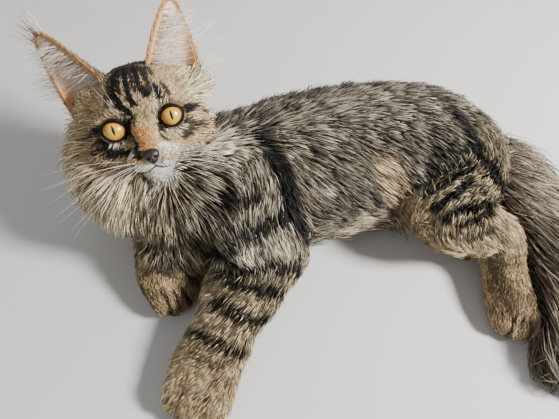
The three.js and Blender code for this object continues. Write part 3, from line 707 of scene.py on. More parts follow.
bodyPale = [
    [[(8, -36, 74), (19, -44, 66), (29, -51, 56), (40, -54, 48)], 11.0, 0.6, (206, 180, 138)],
    [[(-10, -54, 30), (20, -50, 30), (48, -54, 30)], 13.0, 0.5, (190, 166, 132)],
    [[(-98, -56, 88), (-108, -60, 92), (-104, -50, 88)], 10.0, 0.6, (226, 212, 182)],
    [[(-143, -98, 60), (-166, -92, 58), (-188, -86, 59)], 15.0, 0.4, (214, 196, 162)],
    [[(-125, -102, 55), (-118, -106, 40)], 11.0, 0.35, (186, 164, 128)],
    [[(-88, -112, 58), (-70, -104, 62), (-56, -98, 58)], 4.0, 0.5, (206, 196, 176)],
    [[(60, -56, 60), (52, -50, 60), (66, -60, 52)], 5.0, 0.6, (206, 182, 142)],
    [[(110, 20, 60), (130, 10, 50), (150, -10, 40)], 14.0, 0.5, (176, 162, 142)],
]
stripeTone = np.array([colour(34, 28, 24), colour(22, 18, 16), colour(20, 17, 15)])


def nearLine(p, normal, points):  # distance to a line over the surface, its height left mostly out
    least = np.full(len(p), 1e9)
    for a, b in zip(points[:-1], points[1:]):
        a, way = np.array(a, float), np.array(b, float) - np.array(a, float)
        t = np.clip(((p - a) @ way) / (way @ way), 0, 1)
        r = p - a - t[:, None] * way
        r -= 0.75 * normal * (r * normal).sum(1)[:, None]
        least = np.minimum(least, np.linalg.norm(r, axis=1))
    return least


def dressed(p, normal, tones, headShare):  # colours of root, middle and tip, with the markings laid on
    ragged = waves(p, 2.6, 3) * 1.1 + waves(p, 1.1, 4) * 0.4
    body, head = (p, normal, 1 - headShare), (toHead(p), normal @ headTurn.T, headShare)
    for rows, (place, facing, share) in ((bodyPale, body), (headPale, head)):
        for points, half, strength, tint in rows:
            gap = nearLine(place, facing, points) + ragged
            m = (1 - ramp(gap, half * 0.6, half * 1.35)) * strength * share
            tint = colour(*tint)
            # a pale mark's root at about half its colour: partly undercoat, partly painted shade deep in the
            # coat
            tones = mix(tones, np.stack([tint * 0.55, tint, tint * 1.02])[None], m[:, None, None])
    dark = np.zeros(len(p))
    for rows, (place, facing, share) in ((bodyStripes, body), (headStripes, head)):
        for points, half, strength in rows:
            gap = nearLine(place, facing, points) + ragged * min(1, 0.1 + half / 4)
            m = 1 - ramp(gap, half * 0.7, half * 1.2 + 0.2)
            dark = np.maximum(dark, m * strength * share)
    return mix(tones, stripeTone[None], dark[:, None, None]), dark


bars = {  # rings round the limbs that are hardly seen, as [share along, half width, strength]
    "upper_foreleg_right": [(0.4, 3, 0.6), (0.8, 3, 0.6)],
    "forearm_right": [(0.2, 2.6, 0.7), (0.55, 2.6, 0.7), (0.85, 2.2, 0.6)],
    "lower_leg_right": [(0.25, 2.6, 0.7), (0.5, 2.4, 0.7), (0.75, 2.2, 0.6)],
    "tail_base": [(0.25, 5, 0.35), (0.6, 5, 0.35), (0.9, 5, 0.35)],
    "tail_end": [(0.2, 6, 0.35), (0.5, 6, 0.35), (0.8, 7, 0.45)],
}


undertones = {"farFlank": 0.6, "spine": 0.42, "nape": 0.85, "hindHead": 0.6}  # how strong each of them is


def barsOfSkin():
    dark = np.zeros(len(skinPlaces))
    for name, rings in bars.items():
        for at, half, strength in rings:
            gap = np.abs(limbPlaces[name][0] - at) * limbs[name].length
            dark = np.maximum(dark, (1 - ramp(gap, half * 0.6, half * 1.3)) * strength * shareOf(name))
    along, turn = limbPlaces["torso"]
    turn = turn % (2 * math.pi)
    hidden = ramp(turn, 2.7, 3.4) * (1 - ramp(turn, 5.2, 5.9)) * shareOf("torso")  # the far flank
    wave = np.sin(along * 34 + 1.3 * np.sin(turn * 2.1))
    return np.maximum(dark, ramp(wave, 0.2, 0.85) * hidden * undertones["farFlank"])


def toneSkin():
    tones = np.einsum("rn,rkc->nkc", shares, toneRows)
    turn = limbPlaces["torso"][1] % (2 * math.pi)
    spine = np.exp(-(((turn - 2.75) / 0.55) ** 2)) * shareOf("torso")
    tones *= (1 - undertones["spine"] * spine)[:, None, None]
    napeGrey = shareOf("neck") * ramp(-headAhead, 30, 46) * ramp(headUp, -34, -8)
    tones = mix(tones, toneRows[0][None], undertones["nape"] * napeGrey[:, None, None])
    hindHead = onHead * ramp(-headAhead, 16, 30) * ramp(headUp, -4, 14)
    tones = mix(tones, toneRows[0][None] * 1.15, undertones["hindHead"] * hindHead[:, None, None])
    return mix(tones, stripeTone[None], barsOfSkin()[:, None, None])


skinTones = toneSkin()
print("markings set")

# The skin's unwrap: each limb as a rolled-out rectangle and the head as a folded-out diamond
atlas = {
    "head": (0.0, 0.0, 0.4, 0.4),
    "torso": (0.4, 0.0, 0.6, 0.4),
    "neck": (0.0, 0.4, 0.3, 0.2),
    "tail_base": (0.3, 0.4, 0.2, 0.2),
    "tail_end": (0.5, 0.4, 0.3, 0.2),
    "thigh_left": (0.8, 0.4, 0.2, 0.2),
}
smallLimbs = [name for name in coats if name not in atlas]
for k, name in enumerate(smallLimbs):
    atlas[name] = (0.25 * (k % 4), 0.6 + 0.13 * (k // 4), 0.25, 0.13)


def unwrapSkin():  # a place on the unwrap for every corner of the skin's faces
    corners = readAll(skinMesh.loops, "vertex_index", 1, int)
    starts = readAll(skinMesh.polygons, "loop_start", 1, int)
    faceOf = np.repeat(np.arange(len(starts)), np.diff(np.append(starts, len(corners))))
    owner = shares[:, corners[starts]].argmax(0)[faceOf]
    uv = np.zeros((len(corners), 2))
    for k, name in enumerate(regionNames):
        mine = owner == k
        x, y, wide, high = atlas[name]
        if name == "head":
            d = unit(toHead(skinPlaces[corners[mine]]) - [0, -6, -12])
            d /= np.abs(d).sum(1)[:, None]
            fold = (1 - np.abs(d[:, [1, 0]])) * np.where(d[:, :2] < 0, -1, 1)
            flat = np.where((d[:, 2] < 0)[:, None], fold, d[:, :2]) * 0.5 + 0.5
        else:
            u, turn = limbPlaces[name]
            middle = turn[corners[starts[faceOf[mine]]]]
            around = middle + (turn[corners[mine]] - middle + math.pi) % (2 * math.pi) - math.pi
            flat = np.stack([(u[corners[mine]] + 0.25) / 1.5, around / (2 * math.pi) + 0.5], 1)
        uv[mine] = [x, y] + (0.02 + 0.96 * np.clip(flat, -0.01, 1.01)) * [wide, high]
    layer = skinMesh.uv_layers.new(name="OFBake")
    layer.uv.foreach_set("vector", uv.astype(np.float32).ravel())
    return uv


skinUv = unwrapSkin()
skinMesh.calc_loop_triangles()
triangles = readAll(skinMesh.loop_triangles, "vertices", 3, int)
triangleCorners = readAll(skinMesh.loop_triangles, "loops", 3, int)


def setAttribute(mesh, name, kind, values, field):
    attribute = mesh.attributes.new(name, kind, "POINT")
    attribute.data.foreach_set(field, np.asarray(values, np.float32).ravel())


def setTone(mesh, tones):
    setAttribute(mesh, "tone", "FLOAT_COLOR", np.c_[np.clip(tones, 0, 1), np.ones(len(tones))], "color")


tuftShape = {
    "flatness": 0.5,
    "roll": 0.35,  # how far single tufts turn about their own length
    "profiles": {3: (0.9, 0.95), 4: (0.8, 1.0, 0.7)},  # thickness at each ring, by the number of knots
    "lowest": 0.35,
    "patch": 0.003,  # a tuft's size on the unwrap
    "most": 198000,  # triangles in one coat piece
}


def tuftPattern(rings):  # a three-sided closed tuft: its faces, and its corners' places round and along it
    faces = [[0, 2, 1]]
    for ring in range(rings - 1):
        for k in range(3):
            a, b = ring * 3 + k, ring * 3 + (k + 1) % 3
            faces += [[a, b, b + 3], [a, b + 3, a + 3]]
    top = rings * 3
    faces += [[top - 3 + k, top - 3 + (k + 1) % 3, top] for k in range(3)]
    knots = np.append(np.repeat(np.arange(rings), 3), rings)
    return np.array(faces), np.array([0, 1, 2] * rings + [0]), knots


def buildTufts(name, paths, normals, width, tones, rootUv):
    profile = tuftShape["profiles"][paths.shape[1]]
    count, rings = len(paths), paths.shape[1] - 1
    tuftSides, ringCorner, ringKnot = tuftPattern(rings)
    tangent = unit(np.stack([paths[:, k + 1] - paths[:, max(k - 1, 0)] for k in range(rings)], 1))
    side = unit(np.cross(tangent, normals[:, :rings]))
    lift = np.cross(side, tangent)
    roll = chance.normal(0, tuftShape["roll"], count)[:, None, None]
    side, lift = side * np.cos(roll) + lift * np.sin(roll), lift * np.cos(roll) - side * np.sin(roll)
    corners = rings * 3 + 1
    v = np.empty((count, corners, 3))
    for k in range(rings * 3):
        knot, angle = k // 3, (k % 3) * 2 * math.pi / 3 + math.pi / 2
        size = (width * profile[knot])[:, None]
        v[:, k] = paths[:, knot] + side[:, knot] * size * math.cos(angle)
        v[:, k] += lift[:, knot] * size * tuftShape["flatness"] * math.sin(angle)
    v[:, -1] = paths[:, -1]
    v[..., 2] = np.maximum(v[..., 2], tuftShape["lowest"])
    faces = (np.arange(count)[:, None, None] * corners + tuftSides[None]).reshape(-1)
    mesh = bpy.data.meshes.new(name)
    mesh.vertices.add(count * corners)
    mesh.vertices.foreach_set("co", (v * mm).ravel())
    mesh.loops.add(len(faces))
    mesh.loops.foreach_set("vertex_index", faces)
    mesh.polygons.add(len(faces) // 3)
    mesh.polygons.foreach_set("loop_start", np.arange(0, len(faces), 3))
    mesh.update(calc_edges=True)
    mesh.shade_smooth()
    setTone(mesh, tones[:, ringKnot].reshape(-1, 3))
    patch = tuftShape["patch"] * np.stack([ringCorner / 2 - 0.5, ringKnot / rings - 0.5], 1)
    uv = (rootUv[:, None] + patch[None]).reshape(-1, 2)[faces]
    mesh.uv_layers.new(name="OFBake").uv.foreach_set("vector", uv.astype(np.float32).ravel())
    piece = addObject(name, mesh)
    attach(piece, "root")
    return piece


mouthShape = {"drop": -25.5, "reach": 13, "sag": 2.6, "line": 0.5, "groove": 0.35}


def mouthAt(side, t):  # the line of the mouth in the head's frame
    down = mouthShape["drop"] - mouthShape["sag"] * np.sin(t * 2.5)
    return ontoHead(np.stack([side * t * mouthShape["reach"], down, 12 - 9 * t * t], 1), 0.1)


bareShape = {"eye": (7.3, 6.3), "nose": (6.0, 4.9), "noseDrop": 19.0, "mouth": (0.8, 1.4)}


def bareness(p, share):  # 0 on the eyes, the nose and the mouth's line, 1 where the coat grows
    q = toHead(p)
    bare = np.ones(len(p))
    wide, high = bareShape["eye"]
    for side in (1, -1):
        d = np.hypot((q[:, 0] - side * eyeOffset) / wide, q[:, 1] / high)
        bare *= np.where(q[:, 2] > -4, ramp(d, 0.98, 1.06), 1)
    wide, high = bareShape["nose"]
    d = np.hypot(q[:, 0] / wide, (q[:, 1] + bareShape["noseDrop"]) / high)
    bare *= np.where(q[:, 2] > 8, ramp(d, 0.9, 1.05), 1)
    line = np.concatenate([mouthAt(side, np.linspace(0, 0.9, 12)) for side in (1, -1)])
    bare *= ramp(np.min([np.linalg.norm(q - m, axis=1) for m in line], axis=0), *bareShape["mouth"])
    return mix(1, bare, share > 0.3)


# Sowing the coat: roots spread evenly by area and thickness, each with a path that follows the skin
sowing = {
    "tufts": 137000,
    "sink": 0.7,  # of the roots into the skin
    "wander": 0.16,  # how far single tufts stray from the lie, in radians
    "clump": 28,  # tufts that lean together
    "lean": 0.5,
    "lengths": (0.72, 1.18),  # least and most share of a region's own length and width
    "widths": (0.7, 1.35),
}
skinTree = BVHTree.FromPolygons([tuple(p) for p in skinPlaces], [tuple(t) for t in triangles])


def sow():  # a triangle of the skin and a place in it for each tuft
    weight = growth["thick"] * bareness(skinPlaces, onHead)
    low = ramp(skinPlaces[:, 2], 0.5, 6) * 0.75 + 0.25
    under = 1 - 0.75 * ramp(-skinNormals[:, 2], 0.55, 0.95) * (1 - ramp(skinPlaces[:, 2], 8, 20))
    weight = np.maximum(weight * low * under, 0)
    a, b, c = (skinPlaces[triangles[:, k]] for k in range(3))
    area = np.linalg.norm(np.cross(b - a, c - a), axis=1) / 2
    total = np.cumsum(area * weight[triangles].mean(1))
    n = sowing["tufts"]
    pick = np.searchsorted(total, (np.arange(n) + chance.random(n)) / n * total[-1])
    pick = np.minimum(pick, len(triangles) - 1)
    x, y = chance.random((2, n))
    over = x + y > 1
    x[over], y[over] = 1 - x[over], 1 - y[over]
    share = np.stack([1 - x - y, x, y], 1)
    place = (skinPlaces[triangles[pick]] * share[..., None]).sum(1)
    keep = bareness(place, onHead[triangles[pick, 0]]) > 0.5
    return pick[keep], share[keep]


rootTriangle, rootShare = sow()
rootVertices = triangles[rootTriangle]


def atRoots(values):
    return (values[rootVertices] * rootShare.reshape(rootShare.shape + (1,) * (values.ndim - 1))).sum(1)


def layPaths():  # four knots for each tuft, that follow the skin and rise from it
    root, normal, flow = atRoots(skinPlaces), unit(atRoots(skinNormals)), unit(atRoots(skinFlow))
    n = len(root)
    stray = chance.normal(0, sowing["wander"], n) + 0.2 * waves(root, 16, 5) + 0.1 * waves(root, 5, 6)
    flow = unit(flow + np.cross(normal, flow) * stray[:, None])
    length = atRoots(growth["length"]) * chance.uniform(*sowing["lengths"], n)
    swell = chance.normal(0.92, 0.2, n) + 0.16 * waves(root, 12, 8)
    rise = atRoots(growth["rise"]) * np.clip(swell, 0.45, 1.6)
    paths = np.empty((n, 4, 3))
    normals = np.empty((n, 4, 3))
    paths[:, 0], normals[:, 0] = root - normal * sowing["sink"], normal
    p = root.copy()
    for k, share in ((1, 0.55), (2, 0.86), (3, 1.0)):
        p = p + flow * (length / 3)[:, None]
        found = [skinTree.find_nearest(Vector(q)) for q in p]
        near = np.array([f[0] for f in found])
        face = np.array([f[2] for f in found])
        n1 = unit(skinNormals[triangles[face]].mean(1))
        p = near + n1 * (rise * share)[:, None]
        p[:, 2] = np.maximum(p[:, 2], skinShape["lowest"])
        flow = unit(flow * 0.75 + skinFlow[triangles[face, 0]] * 0.25)
        flow = unit(flow - n1 * (flow * n1).sum(1)[:, None])
        paths[:, k], normals[:, k] = p, n1
    return paths, normals


paths, pathNormals = layPaths()


def clumpTips(paths):  # tufts lean towards the middle one of their clump
    n = len(paths)
    centres = chance.choice(n, n // sowing["clump"], replace=False)
    near = KDTree(len(centres))
    for k, c in enumerate(centres):
        near.insert(Vector(paths[c, 0]), k)
    near.balance()
    found = centres[[near.find(Vector(p))[1] for p in paths[:, 0]]]
    short = sum(atRoots(shareOf(name)) for name in ["head", *pawNames])
    lean = sowing["lean"] * (1 - 0.8 * short)
    for k, share in ((1, 0.2), (2, 0.6), (3, 1.0)):
        gap = paths[found, k] - paths[:, k]
        paths[:, k] += gap * (lean * share / (1 + (np.linalg.norm(gap, axis=1) / 14) ** 2))[:, None]
    return paths, found


paths, clumpOf = clumpTips(paths)
print("coat sown,", len(paths), "tufts")


# Share of the tufts with dark tips
ticked = {"torso": 0.42, "neck": 0.1, "head": 0.12, "lower_leg_left": 0.4, "hindpaw_left": 0.32, "other": 0.2}
tuftLook = {
    "single": 0.26,  # how much tufts, clumps and patches of the coat differ in brightness
    "clump": 0.26,
    "patch": 0.22,
    "warmth": 0.05,
    "tipDark": 0.22,  # brightness left at a dark tip, and below it
    "middleDark": 0.5,
}


def toneTufts():  # colours at the four knots of every tuft
    n = len(paths)
    onThigh = atRoots(shareOf("thigh_left") + 0.6 * shareOf("torso"))
    reach = mix(np.random.default_rng(5).uniform(0, 1, n), 0.85, onThigh)[:, None]
    place = mix(mix(paths[:, 1], paths[:, 2], reach), paths[:, 3], np.maximum(reach * 2 - 1.4, 0))
    headShare = atRoots(onHead)
    tones, dark = dressed(place, pathNormals[:, 2], atRoots(skinTones), headShare)
    knots = np.stack([tones[:, 0], mix(tones[:, 0], tones[:, 1], 0.8), tones[:, 1], tones[:, 2]], 1)
    dice = np.random.default_rng(21)
    shade = dice.normal(0, 1, n) * tuftLook["single"]
    shade += dice.normal(0, 1, n)[clumpOf] * tuftLook["clump"] * (1 - 0.7 * headShare)
    shade += (tuftLook["patch"] - 0.12 * headShare) * waves(paths[:, 2], 9, 11)
    plain = (1 - dark * 0.6) * (1 - 0.45 * atRoots(shareOf("neck")))
    knots *= np.exp(shade * plain)[:, None, None]
    ticking = np.array([ticked.get(name, ticked["other"]) for name in regionNames]) @ atRoots(shares.T).T
    tipped = (dice.random(n) < ticking) * (1 - dark)
    knots[:, 3] *= mix(1, tuftLook["tipDark"], tipped)[:, None]
    knots[:, 2] *= mix(1, tuftLook["middleDark"], tipped)[:, None]
    warm = 1 + np.outer(dice.normal(0, tuftLook["warmth"], n), [1, 0, -1])
    return knots * warm[:, None]


tuftTones = toneTufts()
tuftWidth = atRoots(growth["width"]) * chance.uniform(*sowing["widths"], len(paths))
tuftUv = (skinUv[triangleCorners[rootTriangle]] * rootShare[..., None]).sum(1)
tuftOwner = atRoots(shares.T).argmax(1)
coatPieces = {  # regions, slot and the number of knots in a tuft
    "face_coat": (["head"], "face_coat", 3),
    "ruff": (["neck"], "ruff_coat", 4),
    "body_coat": (["torso"], "body_coat", 3),
    "thigh_coat": (["thigh_left", "thigh_right"], "body_coat", 3),
    "shoulder_coat": (["upper_foreleg_left", "upper_foreleg_right"], "body_coat", 3),
    "leg_coat": (["forearm_left", "forearm_right", "lower_leg_left", "lower_leg_right"], "body_coat", 3),
    "paw_coat": (pawNames, "paw_coat", 3),
    "tail_plume": (["tail_base", "tail_end"], "tail_coat", 4),
}
furPieces, coatTriangles = [], 0
for name, (regions, slot, knots) in coatPieces.items():
    mine = np.flatnonzero(np.isin(tuftOwner, [regionNames.index(r) for r in regions]))
    mine = mine[np.argsort(paths[mine, 0, 0])]
    use = [0, 2, 3] if knots == 3 else [0, 1, 2, 3]
    each = 6 * knots - 8
    coatTriangles += each * len(mine)
    parts = np.array_split(mine, math.ceil(len(mine) * each / tuftShape["most"]))
    for k, some in enumerate(parts):
        title = name if len(parts) == 1 else f"{name}_{k + 1}"
        made = buildTufts(
            title,
            paths[some][:, use],
            pathNormals[some][:, use],
            tuftWidth[some],
            tuftTones[some][:, use],
            tuftUv[some],
        )
        furPieces.append(made)
        print(title, len(some), "tufts")
print("coat made,", coatTriangles, "triangles")


def tubes(name, lines, sides=6, flat=1.0):  # tapered rods, each as (points, radii), in one mesh
    parts = []
    for points, radii in lines:
        along = unit(np.gradient(points, axis=0))
        guide = np.array([0.1, 0.2, 1.0]) if abs(along[0][2]) < 0.9 else np.array([1.0, 0.1, 0])
        side = unit(np.cross(along, guide))
        lift = np.cross(side, along)
        a = np.linspace(0, 2 * math.pi, sides, endpoint=False)[None, :, None]
        r = np.asarray(radii)[:, None, None]
        ring = points[:, None] + side[:, None] * r * np.cos(a) + lift[:, None] * r * flat * np.sin(a)
        ends = [points[0] - along[0] * radii[0] * 0.5, points[-1] + along[-1] * radii[-1]]
        parts.append((np.concatenate([ring.reshape(-1, 3), ends]), tubeFaces(len(points), sides)))
    piece = meshPiece(name, *joinParts(parts))
    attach(piece, "root")
    return piece


# Ears: a deep curled sheet each, with fur outside, a haired cup and a plume at the tip
earShape = {
    "halfWidth": 19.5,
    "thickness": 1.3,
    "curl": (0.75, 1.75),  # half the angle of its section, at the tip and at the root
    "grain": (40, 44),
    "outer": 3300,  # tufts
    "rim": 1100,
    "inner": 420,
    "plume": 90,
    "wisps": 7,  # locks of 13 tufts
    "wisp": 13,
}


class Ear:
    def __init__(self, root, tip, facing, side):
        self.root, self.side = np.array(root, float), side
        self.rise = unit(np.array(tip, float) - root)
        self.height = np.linalg.norm(np.array(tip, float) - root)
        front = np.array(facing, float)
        self.front = unit(front - self.rise * (front @ self.rise))
        self.across = np.cross(self.rise, self.front)

    def at(self, x, t, off=0.0):  # x runs across from -1 to 1, t from root to tip
        rest = np.maximum(0, 1 - t)
        wide = earShape["halfWidth"] * (0.05 + 0.95 * rest**0.68) * (1 - 0.12 * rest**3)
        curl = mix(*earShape["curl"], rest**1.6)
        radius = wide / np.sin(np.minimum(curl, math.pi / 2))
        angle = x * curl
        out = (radius + off)[..., None]
        return (
            self.root
            + self.rise * (self.height * t)[..., None]
            + self.across * out * np.sin(angle)[..., None]
            + self.front * ((radius * np.cos(curl))[..., None] - out * np.cos(angle)[..., None])
        )

    def away(self, x, t):  # the outward normal of the back of the ear
        return unit(self.at(x, t, np.ones_like(x)) - self.at(x, t, np.zeros_like(x)))


ears = {
    "ear_left": Ear([25, 19, -21], [37, 66, -31], [0.3, -0.15, 1], 1),
    "ear_right": Ear([-31, 20, -21], [-48, 64, -31], [-0.5, -0.1, 0.9], -1),
}


def earSheet(node, ear):
    across, tall = earShape["grain"]
    x, t = np.meshgrid(np.linspace(-1, 1, across), mix(-0.12, 1, np.linspace(0, 1, tall)))
    half = earShape["thickness"] / 2 * (1 - 0.5 * np.clip(t, 0, 1)) * np.sqrt(1 - 0.85 * x**6)
    v = np.concatenate([ear.at(x, t, half).reshape(-1, 3), ear.at(x, t, -half).reshape(-1, 3)])
    n, faces = across * tall, []
    for r in range(tall - 1):
        for k in range(across - 1):
            a = r * across + k
            faces.append([a, a + 1, a + across + 1, a + across])
            faces.append([n + a, n + a + across, n + a + across + 1, n + a + 1])
    for r in range(tall - 1):
        a, b = r * across, r * across + across - 1
        faces += [[a, a + across, n + a + across, n + a], [b, n + b, n + b + across, b + across]]
    for k in range(across - 1):
        a, b = k, (tall - 1) * across + k
        faces += [[a, n + a, n + a + 1, a + 1], [b, b + 1, n + b + 1, n + b]]
    piece = meshPiece(node + "_cup", fromHead(v), faces)
    inside = np.repeat([0.0, 1.0], n)
    place = np.stack([np.tile(x.ravel(), 2) * ear.side, np.tile(t.ravel(), 2), inside], 1)
    setAttribute(piece.data, "earPlace", "FLOAT_VECTOR", place, "vector")
    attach(piece, "root")
    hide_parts(node)
    return piece


def hairPaths(start, ways, length, heights, normal):  # paths that leave along their ways and bend by heights
    steps = np.array([0, 1 / 3, 2 / 3, 1])
    return (
        start[:, None]
        + ways[:, None] * (length[:, None] * steps)[..., None]
        + normal[:, None] * (heights[:, None] * (1.7 * steps - 0.7 * steps**2))[..., None]
    )


# roots darker than middles and tips: partly undercoat, partly painted shade deep in the coat
earTones = {
    "outer": [(84, 70, 54), (142, 122, 96), (120, 102, 80)],
    "rim": [(176, 126, 78), (214, 166, 110), (204, 156, 104)],
    "inner": [(226, 206, 182), (242, 232, 216), (248, 243, 234)],
    "plume": [(150, 128, 104), (226, 214, 198), (238, 232, 222)],
}


def earHair(name, ear):  # fur behind, a fringed rim, hair across the cup and a plume at the tip
    dice = np.random.default_rng(40 + ear.side)
    sets = []

    def add(kind, x, t, off, way, length, heights, normal, width, stray=0.12):
        length, heights, width = (value + np.zeros(len(x)) for value in (length, heights, width))
        way = unit(way + dice.normal(0, stray, way.shape))
        rows = np.array([colour(*c) for c in earTones[kind]])
        tones = np.stack([rows[0], mix(rows[0], rows[1], 0.8), rows[1], rows[2]])[None]
        tones = tones * np.exp(dice.normal(0, 0.16, len(x)))[:, None, None]
        corner = 0.02 if kind in ("outer", "rim") else 0.51
        uv = np.stack([(x + 1) / 2, np.clip(t, 0, 1)], 1) * 0.46 + corner
        found = hairPaths(ear.at(x, t, off + np.zeros(len(x))), way, length, heights, normal)
        sets.append([found, np.repeat(normal[:, None], 4, 1), width, tones, uv])

    def count(kind):
        return int(earShape[kind] * (1))

    n = count("outer")
    x, t = dice.uniform(-0.98, 0.98, n), 1 - np.sqrt(dice.uniform(0, 1.18, n))
    t = np.where(t < -0.08, dice.uniform(0, 0.5, n), t)
    up = unit(ear.at(x, t + 0.03) - ear.at(x, t))
    size = 1 - 0.4 * np.clip(t, 0, 1)
    add("outer", x, t, 0.2, up, 7.5 * size, 1.8 * size, ear.away(x, t), dice.uniform(0.35, 0.6, n))
    n = count("rim")
    edge = np.where(dice.random(n) < 0.5, -1, 1.0)
    x, t = edge * dice.uniform(0.93, 1.0, n), dice.uniform(0.0, 0.99, n)
    up = unit(ear.at(x, t + 0.02) - ear.at(x, t))
    out = ear.across * edge[:, None]
    add("rim", x, t, 0, up + out * 0.35, 4.5, 0.8, out, dice.uniform(0.25, 0.42, n))
    n = count("inner")
    t = dice.uniform(0.0, 0.86, n) ** 1.15
    x = ear.side * np.clip(dice.normal(-0.1, 0.5, n), -0.93, 0.9)
    lateral = ear.across * ear.side
    way = lateral + ear.front * dice.uniform(0.1, 0.6, (n, 1)) + ear.rise * dice.uniform(-0.1, 0.75, (n, 1))
    length = dice.uniform(13, 25, n) * (1 - 0.45 * t)
    inward = -ear.away(x, t)
    add("inner", x, t, -0.3, way, length, dice.uniform(1, 4, n), inward, dice.uniform(0.1, 0.19, n), 0.1)
    n = count("inner") // 2
    t, x = dice.uniform(0.05, 0.9, n), ear.side * dice.uniform(-0.95, -0.4, n)
    way = lateral + ear.rise * dice.uniform(0.1, 0.5, (n, 1))
    length = dice.uniform(8, 15, n) * (1 - 0.4 * t)
    add("inner", x, t, -0.3, way, length, 1.2, -ear.away(x, t), 0.16)
    n = earShape["wisp"]
    for _ in range(earShape["wisps"]):  # long locks that cross the cup and leave it past its outer edge
        t = np.clip(dice.uniform(0.05, 0.55) + dice.normal(0, 0.03, n), 0, 0.8)
        x = ear.side * np.clip(0.45 + dice.normal(0, 0.12, n), -0.9, 0.9)
        way = lateral + ear.rise * (0.55 * dice.uniform(0.2, 1.2)) + ear.front * dice.uniform(0.0, 0.35)
        way = way + np.zeros((n, 3))
        length = dice.uniform(24, 36, n)
        add("inner", x, t, -0.3, way, length, dice.uniform(3, 7, n), unit(way * 0.1 + ear.rise), 0.2, 0.05)
    n = count("plume")
    t, x = dice.uniform(0.86, 1.0, n), dice.uniform(-0.8, 0.8, n)
    way = ear.rise + lateral * dice.uniform(-0.25, 0.55, (n, 1)) + ear.front * dice.normal(0, 0.15, (n, 1))
    heights, outward = dice.uniform(-3, 5, n), np.repeat(lateral[None], n, 0)
    add("plume", x, t, 0, way, dice.uniform(8, 24, n), heights, outward, 0.26)
    local, facing, width, tones, uv = (np.concatenate([s[k] for s in sets]) for k in range(5))
    return buildTufts(name + "_hair", fromHead(local), facing @ headTurn, width, tones, uv)


earCups = [earSheet(name, ear) for name, ear in ears.items()]
earHairs = [earHair(name, ear) for name, ear in ears.items()]
print("ears made")

# Eyes: a ball each with a clear bulge at the front, looking a little up at the viewer
eyeShape = {"radius": headShape["eyeRadius"], "bulge": 0.8, "look": (0.06, 0.04, 1.0)}


def makeEye(node, side):
    rings, around = 56, 72
    angle = np.linspace(0, math.pi, rings + 1)[1:-1]
    spin = np.linspace(0, 2 * math.pi, around, endpoint=False)
    bulge = eyeShape["bulge"] * np.clip(1 - (angle / 0.95) ** 2, 0, 1) ** 2
    radius = eyeShape["radius"] + bulge
    local = np.stack(
        [
            np.outer(np.sin(angle) * radius, np.cos(spin)),
            np.outer(np.sin(angle) * radius, np.sin(spin)),
            np.outer(np.cos(angle) * radius, np.ones(around)),
        ],
        -1,
    ).reshape(-1, 3)
    poles = [[0, 0, eyeShape["radius"] + eyeShape["bulge"]], [0, 0, -eyeShape["radius"]]]
    local = np.concatenate([local, poles])
    forward = unit(np.array(eyeShape["look"]))
    level = unit(np.cross([0, 1, 0], forward))
    axes = np.stack([level, np.cross(forward, level), forward])
    place = fromHead(local @ axes + [side * eyeOffset, 0, 0])
    piece = meshPiece(node + "_ball", place, tubeFaces(rings - 1, around))
    setAttribute(piece.data, "irisPlace", "FLOAT_VECTOR", local * [side, 1, 1], "vector")
    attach(piece, "root")
    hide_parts(node)
    return piece


eyes = [makeEye("eye_left", 1), makeEye("eye_right", -1)]

# Lids: a rim round each eye, dark at its edge, that sinks into the face
lidShape = {
    "halfWidth": 6.1,
    "halfHeight": 5.6,
    "tilt": 0.24,
    "corner": 0.15,
    "turns": 72,
    "onBall": [(0.97, 0), (1.0, 0.5), (1.05, 0.75), (1.11, 0.75), (1.18, 0.6)],  # stretch, height over it
    "onFace": [(1.6, 0.3), (2.3, -1.2)],  # reach past the rim, height over the face
}


def makeLid(name, side):
    a = np.linspace(0, 2 * math.pi, lidShape["turns"], endpoint=False)
    corner = 1 + lidShape["corner"] * np.cos(a) ** 4
    wide, high = lidShape["halfWidth"] * corner * np.cos(a), lidShape["halfHeight"] * np.sin(a)
    high = np.where(high > 0, high * 0.86, high * 0.98)
    tilt = lidShape["tilt"]
    cos, sin = math.cos(tilt), math.sin(tilt)
    rim = np.stack([wide * cos - high * sin, wide * sin + high * cos], 1)
    out = unit(rim)

    def onBall(stretch, over):
        flat, radius = rim * stretch, eyeShape["radius"] + over
        depth = np.sqrt(np.maximum(radius**2 - (flat**2).sum(1), 1.5))
        return np.c_[flat, depth]

    def onFace(reach, extra):
        flat = rim + out * reach
        q = np.c_[side * (eyeOffset + flat[:, 0]), flat[:, 1], np.full(len(flat), 4.0)]
        q = ontoHead(q, extra)
        return np.c_[(q[:, 0] * side) - eyeOffset, q[:, 1:]]

    rows = [onBall(*row) for row in lidShape["onBall"]] + [onFace(*row) for row in lidShape["onFace"]]
    rows.append(mix(onBall(1.0, -1.0), onFace(1.6, -3), 0.5))  # closes the rim inside the face
    n = len(a)
    v = np.concatenate(rows) * [side, 1, 1] + [side * eyeOffset, 0, 0]
    faces = []
    for r in range(len(rows)):
        for k in range(n):
            b, c = (k + 1) % n, (r + 1) % len(rows)
            face = [r * n + k, r * n + b, c * n + b, c * n + k]
            faces.append(face if side > 0 else face[::-1])
    piece = meshPiece(name, fromHead(v), faces)
    smoothing = piece.modifiers.new("smooth", "SUBSURF")
    smoothing.levels = smoothing.render_levels = 2
    piece.data = appliedMesh(piece)
    piece.modifiers.clear()
    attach(piece, "root")
    return piece


lids = [makeLid("lid_left", 1), makeLid("lid_right", -1)]

# The nose leather, with nostrils that open to the sides and a groove below
noseShape = {
    "size": (6.3, 4.7, 3.8),
    "centre": (0.3, -19.0, 16.0),
    "holeDepth": 2.1,
    "slotDepth": 1.1,
    "grooveDepth": 0.7,
}


